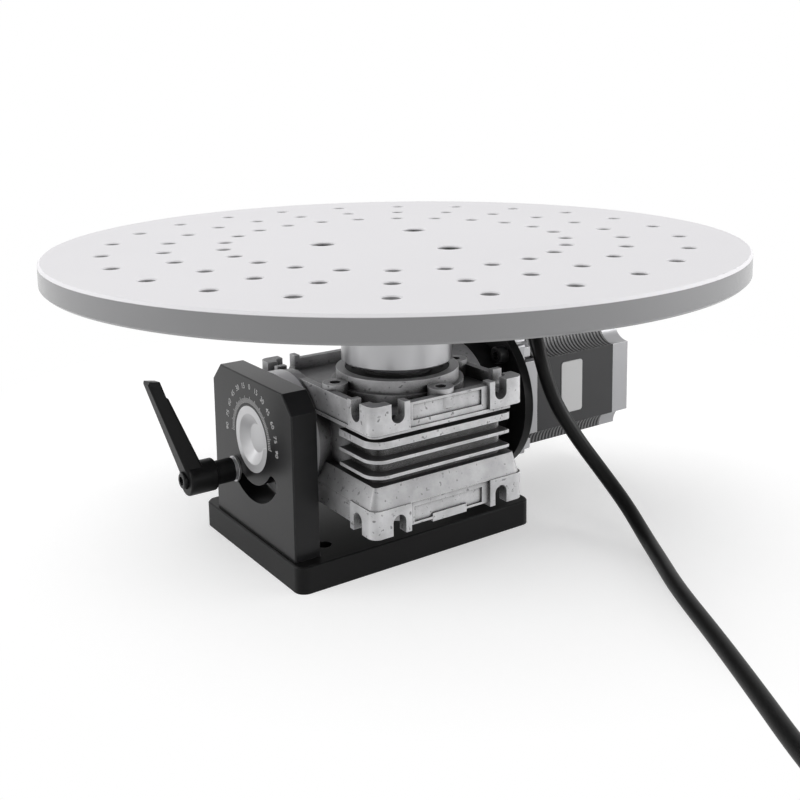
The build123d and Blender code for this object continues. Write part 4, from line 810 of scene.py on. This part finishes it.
def scale_lines():
    """Fine lines every two and a half degrees, and longer ones at the numbers."""
    rows = {"lines": (LINE_STEP, LINE_R), "long parts": (NUMBER_STEP, LONG_PART_R)}
    sizes = {}
    for name, (step, (inner, outer)) in rows.items():
        sizes[name] = round(SCALE_SPAN / step) + 1
        sizes[name + " radius"] = (inner + outer) / 2
    recipe = Recipe("tilt_scale_lines", sizes)
    along = recipe.step("GeometryNodeInputPosition")
    turn = recipe.step("FunctionNodeAlignRotationToVector", {"Vector": along}, axis="X", pivot_axis="Z")
    parts = []
    for name, (_, (inner, outer)) in rows.items():
        arc = recipe.step("GeometryNodeCurveArc", {
            "Resolution": recipe.size[name], "Radius": recipe.size[name + " radius"],
            "Start Angle": 0.0, "Sweep Angle": math.radians(SCALE_SPAN)}, mode="RADIUS")
        line = recipe.step("GeometryNodeMeshCube", {"Size": (outer - inner, SCALE_LINE_W, SCALE_PROUD)})
        parts.append(recipe.at_places(arc, line, {"Rotation": turn}))
    lines = recipe.make(recipe.join(*parts), SCALE_PAINT, scale_place())
    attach(lines, "base")


def scale_numbers():
    """The dial's numbers, with their tops outwards: nought at the top and ninety at both sides."""
    joined = bmesh.new()
    for degrees in range(-SCALE_SPAN // 2, SCALE_SPAN // 2 + 1, NUMBER_STEP):
        words = bpy.data.curves.new("scale_number", "FONT")
        words.body = str(abs(degrees))
        words.size = SCALE_TEXT
        words.extrude = SCALE_PROUD / 2
        words.align_x, words.align_y = "CENTER", "CENTER"
        words.resolution_u = 3
        holder = bpy.data.objects.new("scale_number", words)
        mesh = bpy.data.meshes.new_from_object(holder)
        turn = Matrix.Rotation(-math.radians(degrees), 4, "Z")
        mesh.transform(scale_place() @ turn @ Matrix.Translation((0.0, SCALE_NUMBER_R, 0.0)))
        joined.from_mesh(mesh)
        bpy.data.objects.remove(holder)
    bmesh.ops.remove_doubles(joined, verts=joined.verts, dist=WELD)
    numbers = finished_piece("tilt_scale_numbers", joined)
    numbers.data.materials.append(SCALE_PAINT)
    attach(numbers, "base")


# The spring in the clamp lever

def lever_spring():
    """The spring in the clamp lever, with closed ends."""
    low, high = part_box("clamp_spring")
    radius = (high.y - low.y) / 2 - SPRING_WIRE_R
    centre = (low + high) / 2
    start, length = low.x + SPRING_WIRE_R, high.x - low.x - 2 * SPRING_WIRE_R
    line = []
    for i in range(SPRING_TURNS * SPRING_STEPS + 1):
        share = smooth_step(i / (SPRING_TURNS * SPRING_STEPS))
        t = math.tau * i / SPRING_STEPS
        line.append(Vector((start + length * share, centre.y + radius * math.cos(t),
                            centre.z + radius * math.sin(t))))
    spring = round_tube("clamp_spring_coil", line, SPRING_WIRE_R, SPRING_SIDES)
    spring.data.materials.append(MATERIALS["steel_fastener"])
    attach(spring, "clamp")
    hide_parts("clamp_spring")
    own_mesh(spring)


# The cord: one smooth line, read from a spline, with a round jacket swept along it

def coil_point(turn, radius, z):
    """A place in the coil, in millimetres, from its turn in degrees, its radius and its height."""
    centre_x = (COIL_LOW.x + COIL_HIGH.x) / 2 / MM
    centre_y = (COIL_LOW.y + COIL_HIGH.y) / 2 / MM
    t = math.radians(turn)
    return (centre_x + radius * math.cos(t), centre_y + radius * math.sin(t), z)


def coil_section(turn):
    """Radius and height of the winding after it has turned so far."""
    start, end = COIL_WINDOW
    last = len(COIL_BOTTOM_R) - 1
    laps, rest = divmod(turn - start, 360)
    share = smooth_step(rest / (end - start))
    if laps < last:
        return between(COIL_BOTTOM_R[laps], COIL_BOTTOM_R[laps + 1], share), FLOOR_Z
    if laps == last:
        under = between(COIL_BOTTOM_R[last - 1], COIL_BOTTOM_R[last], share)
        lean = math.radians(between(*COIL_ROLL, share))
        return under + COIL_ROLL_R * math.cos(lean), FLOOR_Z + COIL_ROLL_R * math.sin(lean)
    hump = math.sin(math.pi * min(1.0, rest / (end - start)))
    return between(*COIL_TOP_R, share), between(COIL_TOP_Z, COIL_OVER_Z, hump)


def coil_points():
    """Three turns on the bench, one more in the groove on top, then off to the connector."""
    points = []
    for turn in range(COIL_WINDOW[0] + COIL_STEP, COIL_LEAVE + 1, COIL_STEP):
        points.append(coil_point(turn, *coil_section(turn)))
    plug_x, plug_y = PLUG_LOW.x / MM, (PLUG_LOW.y + PLUG_HIGH.y) / 2 / MM
    x, y, z = coil_point(COIL_LEAVE, *coil_section(COIL_LEAVE))
    points.append((between(x, plug_x, LEAD_SHARE), y - LEAD_ASIDE, z))
    points.append((plug_x - PLUG_BEFORE, plug_y, PLUG_AXIS_Z))
    points.append((plug_x + PLUG_INSIDE, plug_y, PLUG_AXIS_Z))
    return points


def cord_line():
    """Points along the cord's spline, in metres."""
    curve = bpy.data.curves.new("cord_route", "CURVE")
    curve.dimensions = "3D"
    curve.resolution_u = 8
    spline = curve.splines.new("NURBS")
    route = CORD_ROUTE + coil_points()
    spline.points.add(len(route) - 1)
    for point, place in zip(spline.points, route):
        point.co = (*(Vector(place) * MM), 1.0)
    spline.order_u = 3
    spline.use_endpoint_u = True
    holder = bpy.data.objects.new("cord_route", curve)
    line = bpy.data.meshes.new_from_object(holder)
    points = [vertex.co.copy() for vertex in line.vertices]
    bpy.data.objects.remove(holder)
    return points


def motor_cord():
    """The whole cord in one piece: from the motor down to the bench, round the coil, to the connector."""
    line = cord_line()
    tube = round_tube("motor_cord_jacket", line, CORD_D / 2)
    tube.data.materials.append(MATERIALS["cord_jacket"])
    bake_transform(tube)
    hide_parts("motor_cord", "floor_cord", "cord_coil")


# The camera, the floor and the light

def place_camera():
    """The camera that the photograph was taken with, as far as it could be measured."""
    data = bpy.data.cameras.new("camera")
    data.sensor_width = CAMERA_SENSOR
    data.lens = CAMERA_LENS
    data.shift_x, data.shift_y = CAMERA_SHIFT
    camera = bpy.data.objects.new("camera", data)
    turn = Matrix.Rotation(CAMERA_YAW, 4, "Z") @ Matrix.Rotation(math.pi / 2 - CAMERA_PITCH, 4, "X")
    turn = turn @ Matrix.Rotation(-CAMERA_ROLL, 4, "Z")
    camera.matrix_world = Matrix.Translation(CAMERA_PLACE) @ turn
    bpy.context.scene.collection.objects.link(camera)
    bpy.context.scene.camera = camera


def seen_directly(tree):
    """One where the camera, a reflection or a view through glass looks, and nought for lighting."""
    path = tree.nodes.new("ShaderNodeLightPath")
    total = path.outputs["Is Camera Ray"]
    for ray in ("Is Glossy Ray", "Is Transmission Ray"):
        both = tree.nodes.new("ShaderNodeMath")
        both.operation = "MAXIMUM"
        tree.links.new(total, both.inputs[0])
        tree.links.new(path.outputs[ray], both.inputs[1])
        total = both.outputs[0]
    return total


def white_world():
    """White wherever it is seen, and plain soft light."""
    world = bpy.data.worlds.new("studio")
    bpy.context.scene.world = world
    world.use_nodes = True
    tree = world.node_tree
    shown = tree.nodes["Background"]
    shown.inputs["Color"].default_value = (1.0, 1.0, 1.0, 1.0)
    strength = tree.nodes.new("ShaderNodeMapRange")
    strength.inputs["To Min"].default_value = WORLD_LIGHT
    strength.inputs["To Max"].default_value = 1.0
    tree.links.new(seen_directly(tree), strength.inputs["Value"])
    tree.links.new(strength.outputs["Result"], shown.inputs["Strength"])


def pale_floor():
    """A pale floor that keeps the shadow near the table, and is plain white further out."""
    mesh = bmesh.new()
    bmesh.ops.create_grid(mesh, x_segments=1, y_segments=1, size=FLOOR_SIZE)
    floor = finished_piece("studio_floor", mesh)
    tone = (FLOOR_TONE, FLOOR_TONE, FLOOR_TONE)
    finish = Finish("pale_floor", tone, metallic=0.0, roughness=0.9, Specular_IOR_Level=0.0)
    seen = seen_directly(finish.tree)
    finish.shader.inputs["Emission Color"].default_value = (1.0, 1.0, 1.0, 1.0)
    finish.join(finish.range(seen, 0.0, FLOOR_GLOW), finish.shader.inputs["Emission Strength"])
    far = finish.range(finish.from_axis("Z", FLOOR_MIDDLE), 0.0, 1.0, *FLOOR_FADE)
    white = finish.add("ShaderNodeEmission")
    mix = finish.add("ShaderNodeMixShader")
    finish.join(finish.product(far, seen), mix.inputs[0])
    finish.join(finish.shader.outputs[0], mix.inputs[1])
    finish.join(white.outputs[0], mix.inputs[2])
    finish.join(mix.outputs[0], finish.tree.nodes["Material Output"].inputs["Surface"])
    floor.data.materials.append(finish.material)


def soft_lamp(name, place, target, size, power):
    """A round lamp at a place, turned to what it lights."""
    data = bpy.data.lights.new(name, "AREA")
    data.shape = "DISK"
    data.size = size
    data.energy = power
    lamp = bpy.data.objects.new(name, data)
    aim = (Vector(target) - Vector(place)).to_track_quat("-Z", "Y")
    lamp.matrix_world = Matrix.Translation(place) @ aim.to_matrix().to_4x4()
    bpy.context.scene.collection.objects.link(lamp)


# The whole scene

dress_cad_nodes()
perforated_table()
for set_name, details in SCREW_SETS.items():
    screw_set(set_name, *details)
lamination_ribs()
scale_lines()
scale_numbers()
lever_spring()
motor_cord()
place_camera()
white_world()
pale_floor()
for lamp_name, details in LAMPS.items():
    soft_lamp(lamp_name, *details)
bpy.context.scene.view_settings.view_transform = "Standard"
